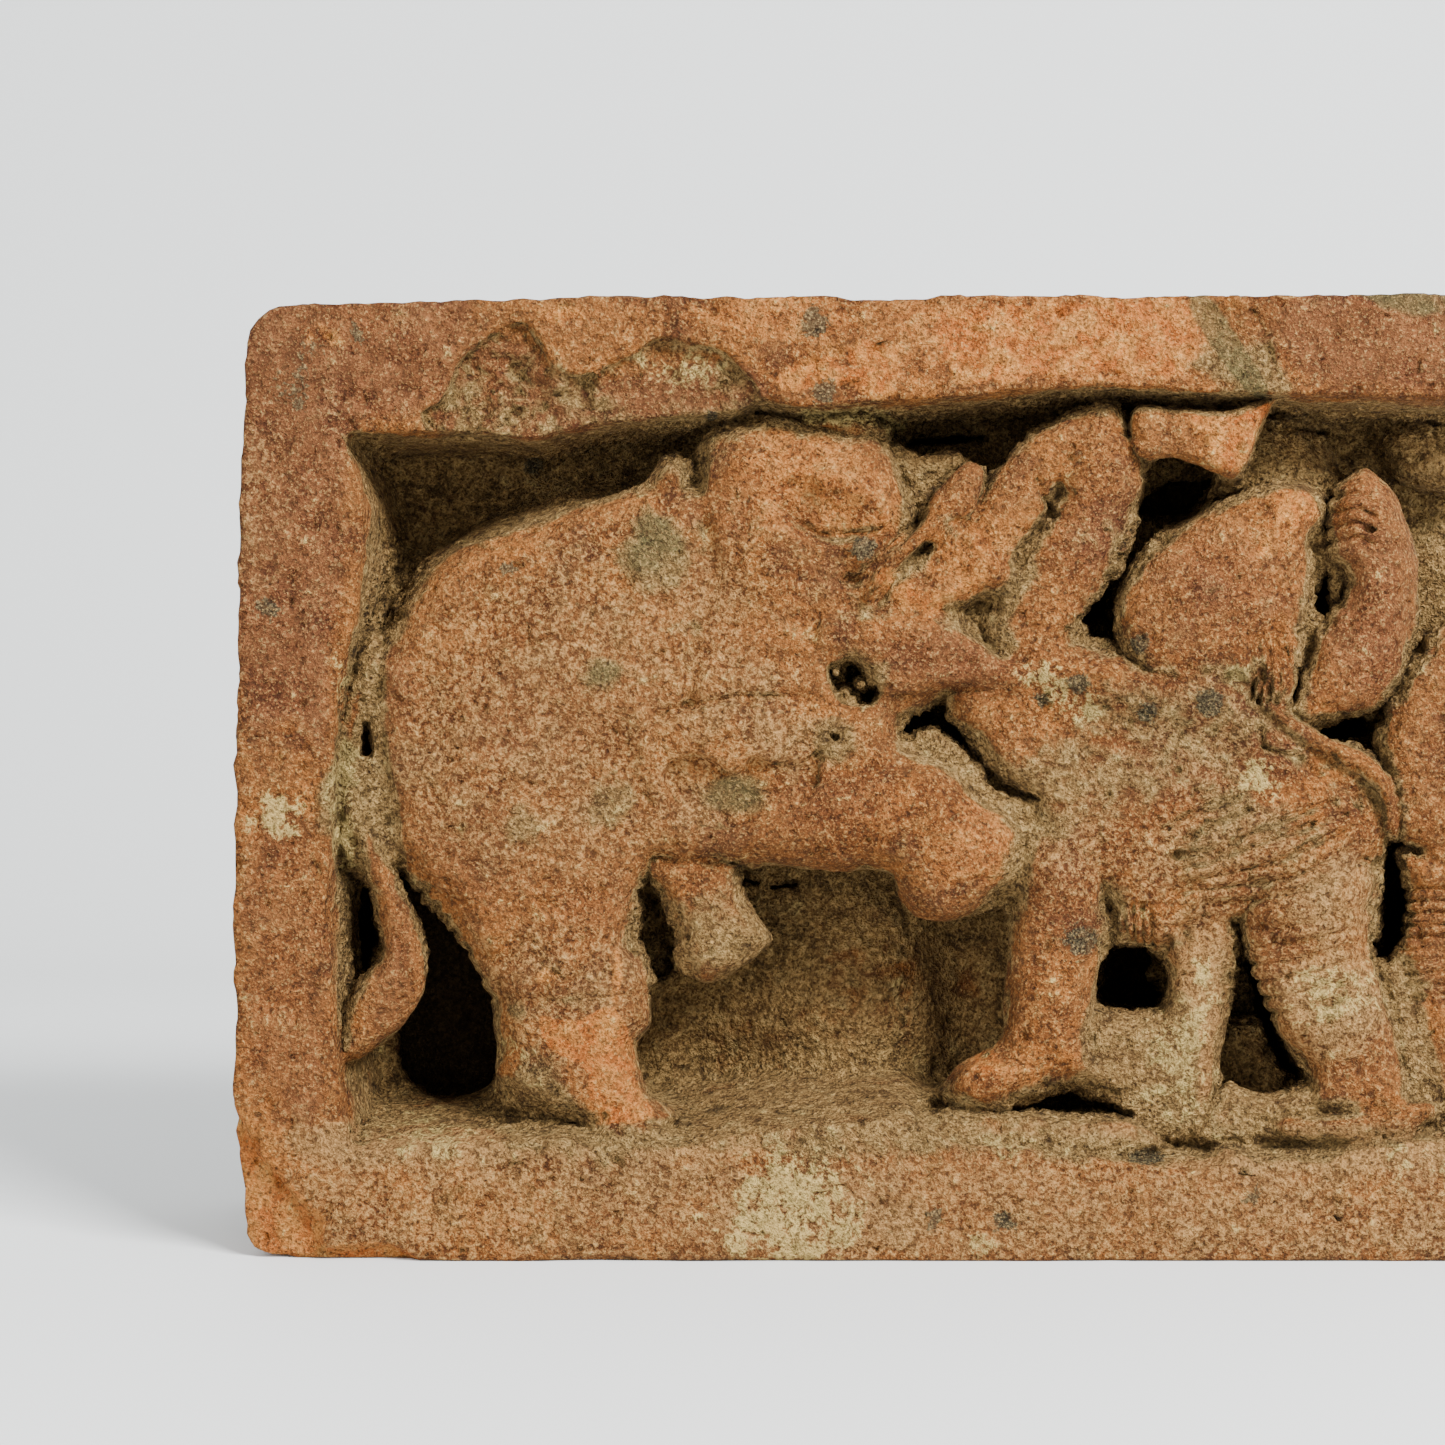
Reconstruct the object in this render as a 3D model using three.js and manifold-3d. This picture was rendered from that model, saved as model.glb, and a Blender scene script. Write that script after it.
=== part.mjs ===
// A block of red sandstone from a carved frieze: a sunk panel inside a plain frame, with a war elephant
// trampling a soldier who holds it off, and the edge of a second soldier where the block is sawn square.
// Everything is carved from the one stone, so the part is one solid. X runs along the face, Y goes into
// the stone, Z is up, and the origin is at the middle of the underside.

import * as THREE from "three";
import { mergeVertices } from "three/addons/utils/BufferGeometryUtils.js";
import Module from "manifold-3d";

const wasm = await Module();
wasm.setup();

// Driving dimensions in millimetres
const LENGTH = 300;
const HEIGHT = 225;
const THICKNESS = 80;
const RECESS_DEPTH = 46;
const END_BORDER = 24;
const TOP_BORDER = 28;
const BOTTOM_BORDER = 25;
const WALL_DRAFT = 4; // how much the end wall of the recess leans in towards its back
const LEDGE_RISE = 8; // how much the ledge below the figures climbs towards its back

// The carving is laid out on a carver's grid of squares, counted from the lower left corner of the face
const SQUARES_HIGH = 97;
const SQUARE = HEIGHT / SQUARES_HIGH;
// Places are read straight on from an eye in front of the face, so deeper points spread away from it
const EYE = { across: 49, up: 54, away: 242 };
const FLOOR = RECESS_DEPTH / SQUARE; // depth of the recess floor, in squares
const POCKET_FLOOR = FLOOR + (0.35 * (THICKNESS - RECESS_DEPTH)) / SQUARE; // depth of the drilled pockets
const RIGHT_END = LENGTH / SQUARE; // where the block is sawn, in squares
const BITE = 1.5; // how far a form runs on into the floor behind it, in squares

// Fineness of the faceting
const LIMB_SIDES = 8;
const CAP_STEPS = 2;
const OUTLINE_STEPS_PER_POINT = 2;
const BOSS_SIDES = 12;
const BOSS_RINGS = 8;

const SLIVER = 0.05; // a triangle thinner than this, in millimetres, is closed up
const MOST_SLIVER_PASSES = 12;

const STONE_COLOUR = 0x9a5a3c;

// The place in the stone, in millimetres, of a grid point at a depth in squares behind the face
function place(across, up, depth) {
  const spread = 1 + depth / EYE.away;
  return new THREE.Vector3(
    -LENGTH / 2 + SQUARE * (EYE.across + (across - EYE.across) * spread),
    -THICKNESS / 2 + SQUARE * depth,
    SQUARE * (EYE.up + (up - EYE.up) * spread),
  );
}

// Turns a geometry into a solid: vertices are merged, and triangles that fold flat at a pole are dropped
function solidOf(geometry) {
  const bare = geometry.clone();
  bare.deleteAttribute("normal");
  bare.deleteAttribute("uv");
  const merged = mergeVertices(bare, 1e-3);
  const kept = [];
  const index = merged.index.array;
  for (let i = 0; i < index.length; i += 3) {
    const [a, b, c] = [index[i], index[i + 1], index[i + 2]];
    if (a !== b && b !== c && a !== c) kept.push(a, b, c);
  }
  return new wasm.Manifold(
    new wasm.Mesh({
      numProp: 3,
      vertProperties: merged.attributes.position.array,
      triVerts: new Uint32Array(kept),
    }),
  );
}

function join(solids) {
  return solids.reduce((sum, solid) => sum.add(solid));
}

// A limb with round ends along a smooth line of [across, up, radius] points. Its section is an ellipse
// that reaches from the front depth to the back depth, each a number or one number for each point.
function limb(points, front, back) {
  const depthAt = (depths, t) => {
    if (typeof depths === "number") return depths;
    const s = t * (depths.length - 1);
    const i = Math.min(Math.floor(s), depths.length - 2);
    return THREE.MathUtils.lerp(depths[i], depths[i + 1], s - i);
  };
  // The curve carries the radius as its third coordinate
  const line = new THREE.CatmullRomCurve3(points.map((p) => new THREE.Vector3(...p)));
  const rows = 2 * (points.length - 1);
  const geometry = new THREE.CapsuleGeometry(1, 1, CAP_STEPS, LIMB_SIDES, rows);
  const position = geometry.attributes.position;
  for (let i = 0; i < position.count; i++) {
    const [x, y, z] = [position.getX(i), position.getY(i), position.getZ(i)];
    const t = THREE.MathUtils.clamp(y + 0.5, 0, 1);
    const overshoot = y + 0.5 - t;
    const at = line.getPoint(t);
    const along = line.getTangent(t).setZ(0).normalize();
    const radius = at.z;
    const middle = (depthAt(front, t) + depthAt(back, t)) / 2;
    const reach = (depthAt(back, t) - depthAt(front, t)) / 2;
    const across = at.x + radius * (along.x * overshoot - along.y * x);
    const up = at.y + radius * (along.y * overshoot + along.x * x);
    const centre = place(across, up, middle);
    position.setXYZ(i, centre.x, centre.y + SQUARE * reach * z, centre.z);
  }
  return facingOut(solidOf(geometry), geometry);
}

// A solid made inside out is turned by reversing its triangles
function facingOut(solid, geometry) {
  if (solid.volume() > 0) return solid;
  const index = geometry.index.array;
  for (let i = 0; i < index.length; i += 3) {
    [index[i + 1], index[i + 2]] = [index[i + 2], index[i + 1]];
  }
  return solidOf(geometry);
}

// A rounded boss, an ellipsoid with its middle at [across, up] and half-sizes across and up, leaning by
// degrees, whose nearest point is at the front depth and whose farthest is at the back depth
function boss([across, up], [wide, high], front, back, lean = 0) {
  const geometry = new THREE.SphereGeometry(1, BOSS_SIDES, BOSS_RINGS);
  const spread = 1 + (front + back) / 2 / EYE.away;
  geometry.rotateX(Math.PI / 2); // the poles lie front and back
  geometry.scale(wide * SQUARE * spread, ((back - front) / 2) * SQUARE, high * SQUARE * spread);
  geometry.rotateY(-THREE.MathUtils.degToRad(lean));
  const middle = place(across, up, (front + back) / 2);
  geometry.translate(middle.x, middle.y, middle.z);
  return solidOf(geometry);
}

// A smooth closed outline through [across, up] points
function smoothOutline(points) {
  const line = new THREE.CatmullRomCurve3(
    points.map(([across, up]) => new THREE.Vector3(across, up, 0)),
    true,
    "centripetal",
  );
  return line.getPoints(points.length * OUTLINE_STEPS_PER_POINT).slice(0, -1);
}

// Moves each point of a counter-clockwise outline inwards, square to its neighbours
function inset(outline, amount) {
  const count = outline.length;
  return outline.map((p, i) => {
    const before = outline[(i + count - 1) % count];
    const after = outline[(i + 1) % count];
    const along = new THREE.Vector2(after.x - before.x, after.y - before.y).normalize();
    return new THREE.Vector3(p.x - along.y * amount, p.y + along.x * amount, 0);
  });
}

// A closed solid through several sections of one outline, each an array of THREE.Vector3 in
// millimetres, listed from the nearest to the deepest. The ends are faceted like the widest section.
function loft(sections, widest = 0) {
  const count = sections[0].length;
  const flat = sections[widest].map((p) => new THREE.Vector2(p.x, p.z));
  const index = [];
  const last = (sections.length - 1) * count;
  for (const [a, b, c] of THREE.ShapeUtils.triangulateShape(flat, [])) {
    index.push(a, b, c, last + a, last + c, last + b);
  }
  for (let row = 0; row < sections.length - 1; row++) {
    for (let i = 0; i < count; i++) {
      const near = row * count + i;
      const nearNext = row * count + ((i + 1) % count);
      index.push(near, near + count, nearNext, nearNext, near + count, nearNext + count);
    }
  }
  const geometry = new THREE.BufferGeometry().setFromPoints(sections.flat());
  geometry.setIndex(index);
  return facingOut(solidOf(geometry), geometry);
}

// A raised form with the given outline: a face at the front depth, shoulders that round off over the
// given distance, and sides that draw in a little towards the floor
function relief(points, front, shoulder, undercut = 1) {
  let outline = smoothOutline(points);
  if (THREE.ShapeUtils.area(outline) < 0) outline = outline.reverse();
  const at = (amount, depth) => inset(outline, amount).map((p) => place(p.x, p.y, depth));
  const sections = [
    at(0.9 * shoulder, front),
    at(0.35 * shoulder, front + 0.3 * shoulder),
    at(0, front + shoulder),
    at(undercut, FLOOR + BITE),
  ];
  return loft(sections, 2);
}

// The hewn block, with a worn left end, a top that was never quite level, and a square sawn end
function hewnBlock() {
  const leftEnd = [[1.4, 91.2], [0.9, 81.2], [0.5, 66.2], [0.1, 41.2], [0, 17.2], [0.6, 6.2]];
  const lowerCorner = [[1.3, 1.9], [3.0, 0.4], [5.8, 0]];
  const sawnEnd = [[RIGHT_END, 0], [RIGHT_END, SQUARES_HIGH]];
  const top = [[94.8, 96.7], [76.8, 97], [46.8, 96.7], [16.8, 95.9]];
  const upperCorner = [[4.3, 95.4], [2.3, 94.0]];
  const outline = [...leftEnd, ...lowerCorner, ...sawnEnd, ...top, ...upperCorner];
  const section = (y) =>
    outline.map(([across, up]) => new THREE.Vector3(across * SQUARE - LENGTH / 2, y, up * SQUARE));
  return loft([section(-THICKNESS / 2), section(THICKNESS / 2)]);
}

// The recess, open at the face and at the sawn end. The frame was cut by eye, so its inner edges waver
// about the borders' widths, and the ledge at its foot climbs towards the back.
function recess() {
  const left = END_BORDER / SQUARE;
  const bottom = BOTTOM_BORDER / SQUARE;
  const top = SQUARES_HIGH - TOP_BORDER / SQUARE;
  const right = RIGHT_END + left;
  const ledge = [
    [left + 1.4, bottom - 0.1], [left + 22.4, bottom + 0.9], [left + 31.4, bottom + 0.4],
    [left + 42.4, bottom + 1.9], [left + 56.4, bottom + 3.4], [left + 66.4, bottom + 0.4], [right, bottom + 0.4],
  ];
  const lintel = [
    [right, top + 1.6], [left + 92.4, top + 2.1], [left + 75.4, top + 2.8], [left + 56.4, top + 1.3],
    [left + 36.4, top - 0.7], [left + 20.4, top - 1.7], [left + 0.9, top - 1.9],
  ];
  const endWall = [
    [left + 2.6, top - 10.7], [left + 1.6, top - 20.7], [left - 0.1, top - 28.7],
    [left - 0.6, top - 38.7], [left - 0.8, top - 53.7], [left - 0.1, top - 64.7],
  ];
  const outline = [...ledge, ...lintel, ...endWall];
  const section = (y, draft, rise) =>
    outline.map(
      ([across, up], i) =>
        new THREE.Vector3(across * SQUARE - LENGTH / 2 + draft, y, up * SQUARE + (i < ledge.length ? rise : 0)),
    );
  const face = -THICKNESS / 2;
  const outside = 1;
  return loft([
    section(face - outside, 0, 0),
    section(face, 0, 0),
    section(face + RECESS_DEPTH, WALL_DRAFT, LEDGE_RISE),
  ]);
}

function elephant() {
  const bodyAndHindLeg = [
    [13.2, 57.5], [15.3, 64.4], [21.8, 70.6], [32.3, 75.4], [42.3, 78.2], [52.8, 79.6],
    [59.5, 70.0], [60.0, 62.5], [65.2, 55.7], [64.0, 51.0], [58.0, 46.0], [48.8, 40.0],
    [41.8, 39.6], [39.9, 34.0], [41.6, 25.4], [42.4, 19.0], [44.8, 13.8], [40.6, 11.0],
    [35.6, 11.6], [30.6, 16.6], [27.2, 21.6], [26.0, 26.8], [22.6, 32.6], [17.4, 39.8],
    [14.6, 48.6],
  ];
  const forehead = boss([52.6, 79.4], [6.2, 5.2], 0.6, 15);
  const skull = boss([57.5, 71.0], [13.5, 11.5], 0, 18, -12);
  const brow = boss([64.0, 78.4], [5.4, 4.2], 1, 13);
  const cheek = boss([66.0, 71.2], [5.6, 4.4], 1, 13);
  const crest = boss([44.0, 77.4], [2.4, 2.2], 2, 13);
  const barrel = boss([34.5, 58.0], [19, 17], 0.2, 24, 12);
  const haunch = boss([26.5, 47.5], [11.5, 15], 0.6, 22);
  const shoulderMass = boss([50.5, 52.0], [11, 9.5], 0.4, 20, -10);
  const trunk = limb(
    [[64.8, 69.6, 3.4], [70.2, 69.0, 3.7], [75.6, 72.0, 4.6], [78.6, 76.6, 4.2], [81.8, 81.0, 3.4], [86.0, 83.8, 2.4]],
    2, [13, 12, 12, 12, 11, 11],
  );
  const tusk = limb([[63.6, 66.8, 0.7], [67.3, 70.1, 1.1], [70.8, 74.4, 1.5], [73.6, 78.4, 1.1]], 0.8, 6);
  const raisedLeg = limb([[54.5, 45.4, 6.2], [61.8, 45.0, 5.6], [68.3, 45.2, 5.8], [73.6, 43.4, 5.4]], 0.4, 18);
  const raisedFoot = limb([[73.4, 43.2, 5.4], [71.6, 38.4, 4.2]], 0.6, 14);
  const hangingLeg = limb([[45.4, 38.6, 3.6], [47.4, 34.6, 4.0], [49.2, 32.0, 4.4]], 3, 17);
  const toes = boss([40.0, 12.2], [5.0, 2.4], 0.4, 14);
  return [
    relief(bodyAndHindLeg, 2.2, 4), forehead, skull, brow, cheek, crest, barrel, haunch, shoulderMass,
    trunk, tusk, raisedLeg, raisedFoot, hangingLeg, toes, ...tail(),
  ];
}

// The tail hangs free behind the rump, and its tuft swings back to the frame
function tail() {
  const root = limb([[15.0, 62.0, 1.6], [12.6, 56.8, 1.3], [11.8, 51.0, 1.3], [12.6, 46.0, 1.8]], 2.4, 9);
  const tuft = limb(
    [[12.6, 46.0, 1.8], [14.2, 40.6, 1.5], [16.6, 34.6, 2.2], [16.9, 29.4, 2.6], [14.2, 24.8, 2.4], [11.0, 21.2, 1.6]],
    1.6, 8,
  );
  const stay = boss([12.4, 45.8], [2.8, 3.4], 4, 22);
  return [root, tuft, stay];
}

function soldier() {
  const torso = [
    [75.4, 56.6], [77.6, 60.4], [82.8, 61.4], [89.8, 60.0], [99.8, 60.2], [103.2, 56.4], [107.0, 52.0],
    [114.0, 47.6], [115.7, 43.0], [114.2, 40.0], [107.5, 36.6], [101.0, 33.8], [94.8, 32.0], [88.4, 33.0],
    [87.2, 37.6], [80.0, 41.0], [77.0, 47.0], [73.0, 52.4],
  ];
  const headAndTopknot = [
    [88.8, 65.0], [91.2, 70.0], [96.0, 73.8], [100.4, 76.2], [104.0, 77.8], [107.4, 77.6], [109.2, 75.2],
    [107.8, 71.4], [108.0, 67.0], [106.8, 62.4], [103.6, 58.0], [98.8, 56.2], [93.4, 56.8], [89.8, 60.2],
  ];
  const swordHilt = [
    [90.4, 84.4], [96.8, 85.2], [104.9, 86.6], [103.4, 82.4], [100.6, 78.4], [96.8, 80.0], [91.2, 80.6],
  ];
  const pushingArm = limb([[62.0, 63.4, 2.8], [68.0, 61.6, 4.4], [75.0, 59.2, 4.6], [81.0, 57.0, 4.4]], 1.2, 16);
  const fist = boss([86.2, 80.0], [4.9, 5.4], 1, 13, -10);
  const grippingArm = limb([[89.4, 78.0, 2.4], [87.6, 73.0, 3.2], [84.0, 67.6, 3.7], [81.0, 62.6, 4.0]], 3, 13);
  const raisedArm = limb([[112.4, 74.8, 3.8], [115.0, 70.0, 3.3], [115.2, 64.4, 3.8], [111.6, 58.2, 4.2]], 1.8, 10);
  const knuckles = boss([112.6, 75.2], [4.4, 4.2], 1.2, 10);
  const head = boss([98.6, 66.4], [9.6, 8.6], 0, 14, 28);
  const beard = limb([[102.6, 63.0, 2.6], [104.6, 58.6, 2.4], [105.4, 54.4, 1.2]], 1.4, 12);
  const chest = boss([90.5, 53.5], [13.0, 8.0], 0.6, 20);
  const hip = boss([99.5, 43.4], [15.2, 8.8], 0, 20, 14);
  const sash = limb([[100.8, 60.4, 1.0], [103.6, 56.0, 1.3], [108.2, 51.8, 1.5], [113.4, 48.4, 1.5], [115.4, 43.6, 1.2]], 0.6, 14);
  const skirtFlap = boss([91.4, 33.6], [4.4, 3.4], 3, 16);
  const sashEnd = limb([[98.0, 35.6, 2.6], [97.6, 27.4, 2.7], [95.6, 20.4, 3.6], [94.6, 13.6, 5.4]], 3, [15, 15, 16, 18]);
  const frontLeg = limb([[84.0, 39.4, 5.0], [83.2, 32.0, 4.8], [82.0, 25.4, 4.5], [81.8, 19.6, 4.7]], 1.2, 20);
  const frontFoot = limb([[84.6, 18.0, 2.9], [78.2, 17.4, 3.1], [72.0, 15.6, 2.2]], 0.6, 19);
  const backLeg = limb([[107.0, 38.8, 7.0], [108.4, 31.4, 6.2], [111.4, 25.0, 6.2], [115.2, 18.8, 5.2]], 0.4, 20);
  const backFoot = limb([[105.4, 13.6, 1.7], [111.6, 14.4, 2.4], [118.4, 15.4, 3.3]], 0, 18);
  return [
    relief(torso, 2, 4), relief(headAndTopknot, 1.4, 4), relief(swordHilt, 1.2, 2), pushingArm, fist,
    grippingArm, raisedArm, knuckles, head, beard, chest, hip, sash, skirtFlap, sashEnd, frontLeg,
    frontFoot, backLeg, backFoot,
  ];
}

// The second soldier, of whom the sawn end leaves the near side
function secondSoldier() {
  const body = limb([[127.5, 62.0, 8.2], [125.0, 54.0, 9.8], [125.4, 46.0, 10.0]], 2.4, 21);
  const leg = limb([[126.2, 41.0, 9.2], [125.4, 32.0, 8.2], [126.0, 23.0, 7.8], [127.4, 15.0, 8.0]], 2.6, 21);
  return [body, leg];
}

// The floor was left standing a little proud below the raised leg
function uncutGround() {
  return boss([63.6, 24.6], [11.5, 13.5], 16.2, 24);
}

// Deep pockets drilled behind the carving, where the recess goes black
function pockets() {
  return [
    limb([[17.0, 37.0, 1.6], [20.6, 28.6, 3.8], [22.4, 20.8, 4.6]], 10, POCKET_FLOOR),
    boss([90.4, 28.0], [3.6, 4.8], 6, POCKET_FLOOR),
    boss([94.2, 76.2], [3.6, 3.0], 8, POCKET_FLOOR),
    boss([112.0, 53.0], [3.4, 3.2], 10, POCKET_FLOOR),
    boss([74.0, 82.2], [5.2, 1.9], 8, POCKET_FLOOR),
    limb([[116.0, 41.0, 1.0], [115.6, 33.0, 1.7]], 8, POCKET_FLOOR),
  ];
}

// Flakes lost from the frame: scoops in the top rail, and the broken lower corner of the end
function losses() {
  return [
    boss([27.8, 87.0], [7.6, 5.2], -3, 1.9, 10),
    boss([44.8, 88.0], [8.2, 4.6], -3, 1.7, -6),
    boss([100.6, 91.0], [3.4, 5.0], -2, 1.2),
    boss([2.2, 3.0], [8.6, 10.4], -4, 2.8, 34),
  ];
}

// How far out a point lies in the block: 1 on its outer faces, 0 at its middle
function outness(p) {
  return Math.max(
    Math.abs(p.x) / (LENGTH / 2),
    Math.abs(p.y) / (THICKNESS / 2),
    Math.abs(p.z - HEIGHT / 2) / (HEIGHT / 2),
  );
}

// The index of a triangle's longest and shortest side, and its height over the longest one
function proportions([a, b, c]) {
  const sides = [a.distanceTo(b), b.distanceTo(c), c.distanceTo(a)];
  const longest = sides.indexOf(Math.max(...sides));
  const shortest = sides.indexOf(Math.min(...sides));
  const height = (2 * new THREE.Triangle(a, b, c).getArea()) / sides[longest];
  return { longest, shortest, height, shortSide: sides[shortest] };
}

function thinnest(points, triangles) {
  return Math.min(...triangles.map((t) => proportions(t.map((v) => points[v])).height));
}

// One round of closing slivers. A sliver with a short side loses it by moving one end onto the other,
// and the tip of a flat fin, which has only three neighbours, moves onto one of them. A sliver that is
// long on all sides is turned across its longest one. Work in one round stays apart, so that no vertex
// takes part twice. Returns the triangles and how many slivers were closed.
function closeSlivers(points, triangles) {
  const owner = new Map(triangles.flatMap((t) => t.map((a, i) => [`${a} ${t[(i + 1) % 3]}`, t])));
  const around = points.map(() => new Set());
  for (const t of triangles) t.forEach((a, i) => around[a].add(t[(i + 1) % 3]));
  const busy = new Set();
  const isFree = (vertices) => vertices.every((v) => !busy.has(v));
  const movedTo = new Map();
  const replaced = new Map();
  let closed = 0;
  for (const t of triangles) {
    const shape = proportions(t.map((v) => points[v]));
    if (shape.height > SLIVER || !isFree(t)) continue;
    const [a, b, c] = [0, 1, 2].map((i) => t[(shape.longest + i) % 3]);
    const other = owner.get(`${b} ${a}`);
    const d = other.find((v) => v !== a && v !== b);
    if (shape.shortSide < 3 * SLIVER || around[c].has(d)) {
      const spike = t.findIndex((v) => around[v].size === 3);
      const from = spike < 0 ? shape.shortest : spike;
      const ends = [t[from], t[(from + 1) % 3]];
      if (spike < 0) ends.sort((p, q) => outness(points[p]) - outness(points[q]));
      const [goes, stays] = ends;
      const shared = [...around[goes]].filter((v) => around[stays].has(v));
      const region = [goes, stays, ...around[goes], ...around[stays]];
      if (shared.length !== 2 || !isFree(region)) continue;
      movedTo.set(goes, stays);
      region.forEach((v) => busy.add(v));
    } else {
      const turned = [[a, d, c], [d, b, c]];
      if (!isFree([d]) || thinnest(points, turned) <= thinnest(points, [t, other])) continue;
      replaced.set(t, turned[0]);
      replaced.set(other, turned[1]);
      [a, b, c, d].forEach((v) => busy.add(v));
    }
    closed++;
  }
  const kept = triangles
    .map((t) => (replaced.get(t) ?? t).map((v) => movedTo.get(v) ?? v))
    .filter(([a, b, c]) => a !== b && b !== c && c !== a);
  return { triangles: kept, closed };
}

// The solid's mesh as a geometry without the slivers that joining and cutting leave
function tidyGeometry(solid) {
  const mesh = solid.getMesh();
  const points = [];
  for (let i = 0; i < mesh.vertProperties.length; i += 3) {
    points.push(new THREE.Vector3().fromArray(mesh.vertProperties, i));
  }
  let triangles = [];
  for (let i = 0; i < mesh.triVerts.length; i += 3) {
    triangles.push([...mesh.triVerts.slice(i, i + 3)]);
  }
  for (let pass = 0; pass < MOST_SLIVER_PASSES; pass++) {
    const round = closeSlivers(points, triangles);
    triangles = round.triangles;
    if (round.closed === 0) break;
  }
  const geometry = new THREE.BufferGeometry().setFromPoints(points);
  geometry.setIndex(triangles.flat());
  geometry.computeVertexNormals();
  return geometry;
}

function reliefPanel() {
  const block = hewnBlock();
  const figures = join([...elephant(), ...soldier(), ...secondSoldier(), uncutGround()]).intersect(block);
  const carved = block
    .subtract(recess())
    .add(figures)
    .subtract(join(pockets()))
    .subtract(join(losses()));
  // Stone left closed in behind a form stays solid: only the outer skin is kept
  const skins = carved.decompose();
  const outer = skins.reduce((best, skin) => (skin.volume() > best.volume() ? skin : best));
  const material = new THREE.MeshStandardMaterial({ color: STONE_COLOUR, roughness: 0.95, metalness: 0 });
  const panel = new THREE.Mesh(tidyGeometry(outer), material);
  panel.name = "relief_panel";
  return panel;
}

const part = new THREE.Group();
part.add(reliefPanel());

export default part;
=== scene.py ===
# A block of red sandstone from a carved frieze: a war elephant tramples a soldier in a sunk panel.
# The panel is carved here as a field of distances on a fine lattice, then meshed, worn and coloured.

import math

import bpy
import numpy as np
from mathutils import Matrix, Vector


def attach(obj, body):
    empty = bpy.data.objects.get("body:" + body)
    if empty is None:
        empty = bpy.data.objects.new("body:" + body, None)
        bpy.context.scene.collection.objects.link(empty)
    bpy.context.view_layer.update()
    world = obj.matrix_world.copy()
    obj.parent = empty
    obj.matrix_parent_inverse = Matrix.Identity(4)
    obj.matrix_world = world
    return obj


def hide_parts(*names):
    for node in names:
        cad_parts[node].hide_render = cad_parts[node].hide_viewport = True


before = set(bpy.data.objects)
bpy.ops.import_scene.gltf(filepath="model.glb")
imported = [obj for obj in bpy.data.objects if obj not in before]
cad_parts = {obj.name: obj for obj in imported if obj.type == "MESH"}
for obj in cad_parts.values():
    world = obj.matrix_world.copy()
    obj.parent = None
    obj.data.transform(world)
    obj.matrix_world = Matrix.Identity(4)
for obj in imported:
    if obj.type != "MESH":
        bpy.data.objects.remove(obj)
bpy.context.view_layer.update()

# Sizes in metres
LENGTH = 0.300
HEIGHT = 0.225
THICKNESS = 0.080
RECESS_DEPTH = 0.046

# The carver's grid: squares counted from the lower left corner of the face, depths behind the face
SQUARES_HIGH = 97
SQUARE = HEIGHT / SQUARES_HIGH
EYE_ACROSS = 49.0
EYE_UP = 54.0
EYE_AWAY = 242.0
FLOOR = RECESS_DEPTH / SQUARE
BACK = THICKNESS / SQUARE
SAWN_END = LENGTH / SQUARE
WALL_DRAFT = 1.1
LEDGE_RISE = 3.4
POCKET_FLOOR = 25.5
FAR = 30.0

# The lattice of the carving, in squares
STEP = 0.27
BACK_STEP = 1.1
FINE_DEPTH = 27.0
ACROSS = np.arange(-1.3, SAWN_END + 1.4, STEP)
UP = np.arange(-1.3, SQUARES_HIGH + 1.4, STEP)
FINE_LEVELS = np.arange(-1.1, FINE_DEPTH, STEP)
DEEP = np.append(FINE_LEVELS, np.arange(FINE_DEPTH + 0.6, BACK + 2.0, BACK_STEP)).astype(np.float32)
SOIL_FILLET = (2.4 * np.clip((DEEP - 5) / 12, 0, 1) ** 1.5).astype(np.float32)
GRID_A, GRID_U = np.meshgrid(ACROSS, UP, indexing="ij")
AXES = (ACROSS, UP, DEEP)
WINDOW_MARGIN = 2.5

PANEL_TRIANGLES = 196000


# Numbers and lines

def smooth_line(points, closed=False, per_span=6):
    """A smooth line through rows of numbers, of which the first two are across and up."""
    rows = np.array(points, dtype=float)
    if closed:
        rows = np.vstack([rows[-1], rows, rows[:2]])
    else:
        rows = np.vstack([2 * rows[0] - rows[1], rows, 2 * rows[-1] - rows[-2]])
    t = np.linspace(0, 1, per_span, endpoint=False)[:, None]
    spans = []
    for p0, p1, p2, p3 in zip(rows, rows[1:], rows[2:], rows[3:]):
        bend = 2 * p1 + (p2 - p0) * t + (2 * p0 - 5 * p1 + 4 * p2 - p3) * t**2
        spans.append(0.5 * (bend + (3 * p1 - p0 - 3 * p2 + p3) * t**3))
    spans.append(rows[-2][None, :])
    return np.vstack(spans)


def window(line, margin):
    """The slices of the lattice around a line's across and up values."""
    low_a, low_u = line[:, :2].min(axis=0) - margin
    high_a, high_u = line[:, :2].max(axis=0) + margin
    a = slice(np.searchsorted(ACROSS, low_a), np.searchsorted(ACROSS, high_a))
    u = slice(np.searchsorted(UP, low_u), np.searchsorted(UP, high_u))
    return a, u


def nearest(line, a, u):
    """The distance to a line of rows, and the row's further numbers at the nearest point."""
    best = np.full(a.shape, 1e6)
    values = np.zeros(a.shape + (line.shape[1] - 2,))
    for p, q in zip(line[:-1], line[1:]):
        run = q[:2] - p[:2]
        length = max(float(run @ run), 1e-9)
        t = np.clip(((a - p[0]) * run[0] + (u - p[1]) * run[1]) / length, 0, 1)
        distance = np.hypot(a - p[0] - t * run[0], u - p[1] - t * run[1])
        closer = distance < best
        best[closer] = distance[closer]
        values[closer] = p[2:] + t[closer][:, None] * (q - p)[2:]
    return best, values


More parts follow.
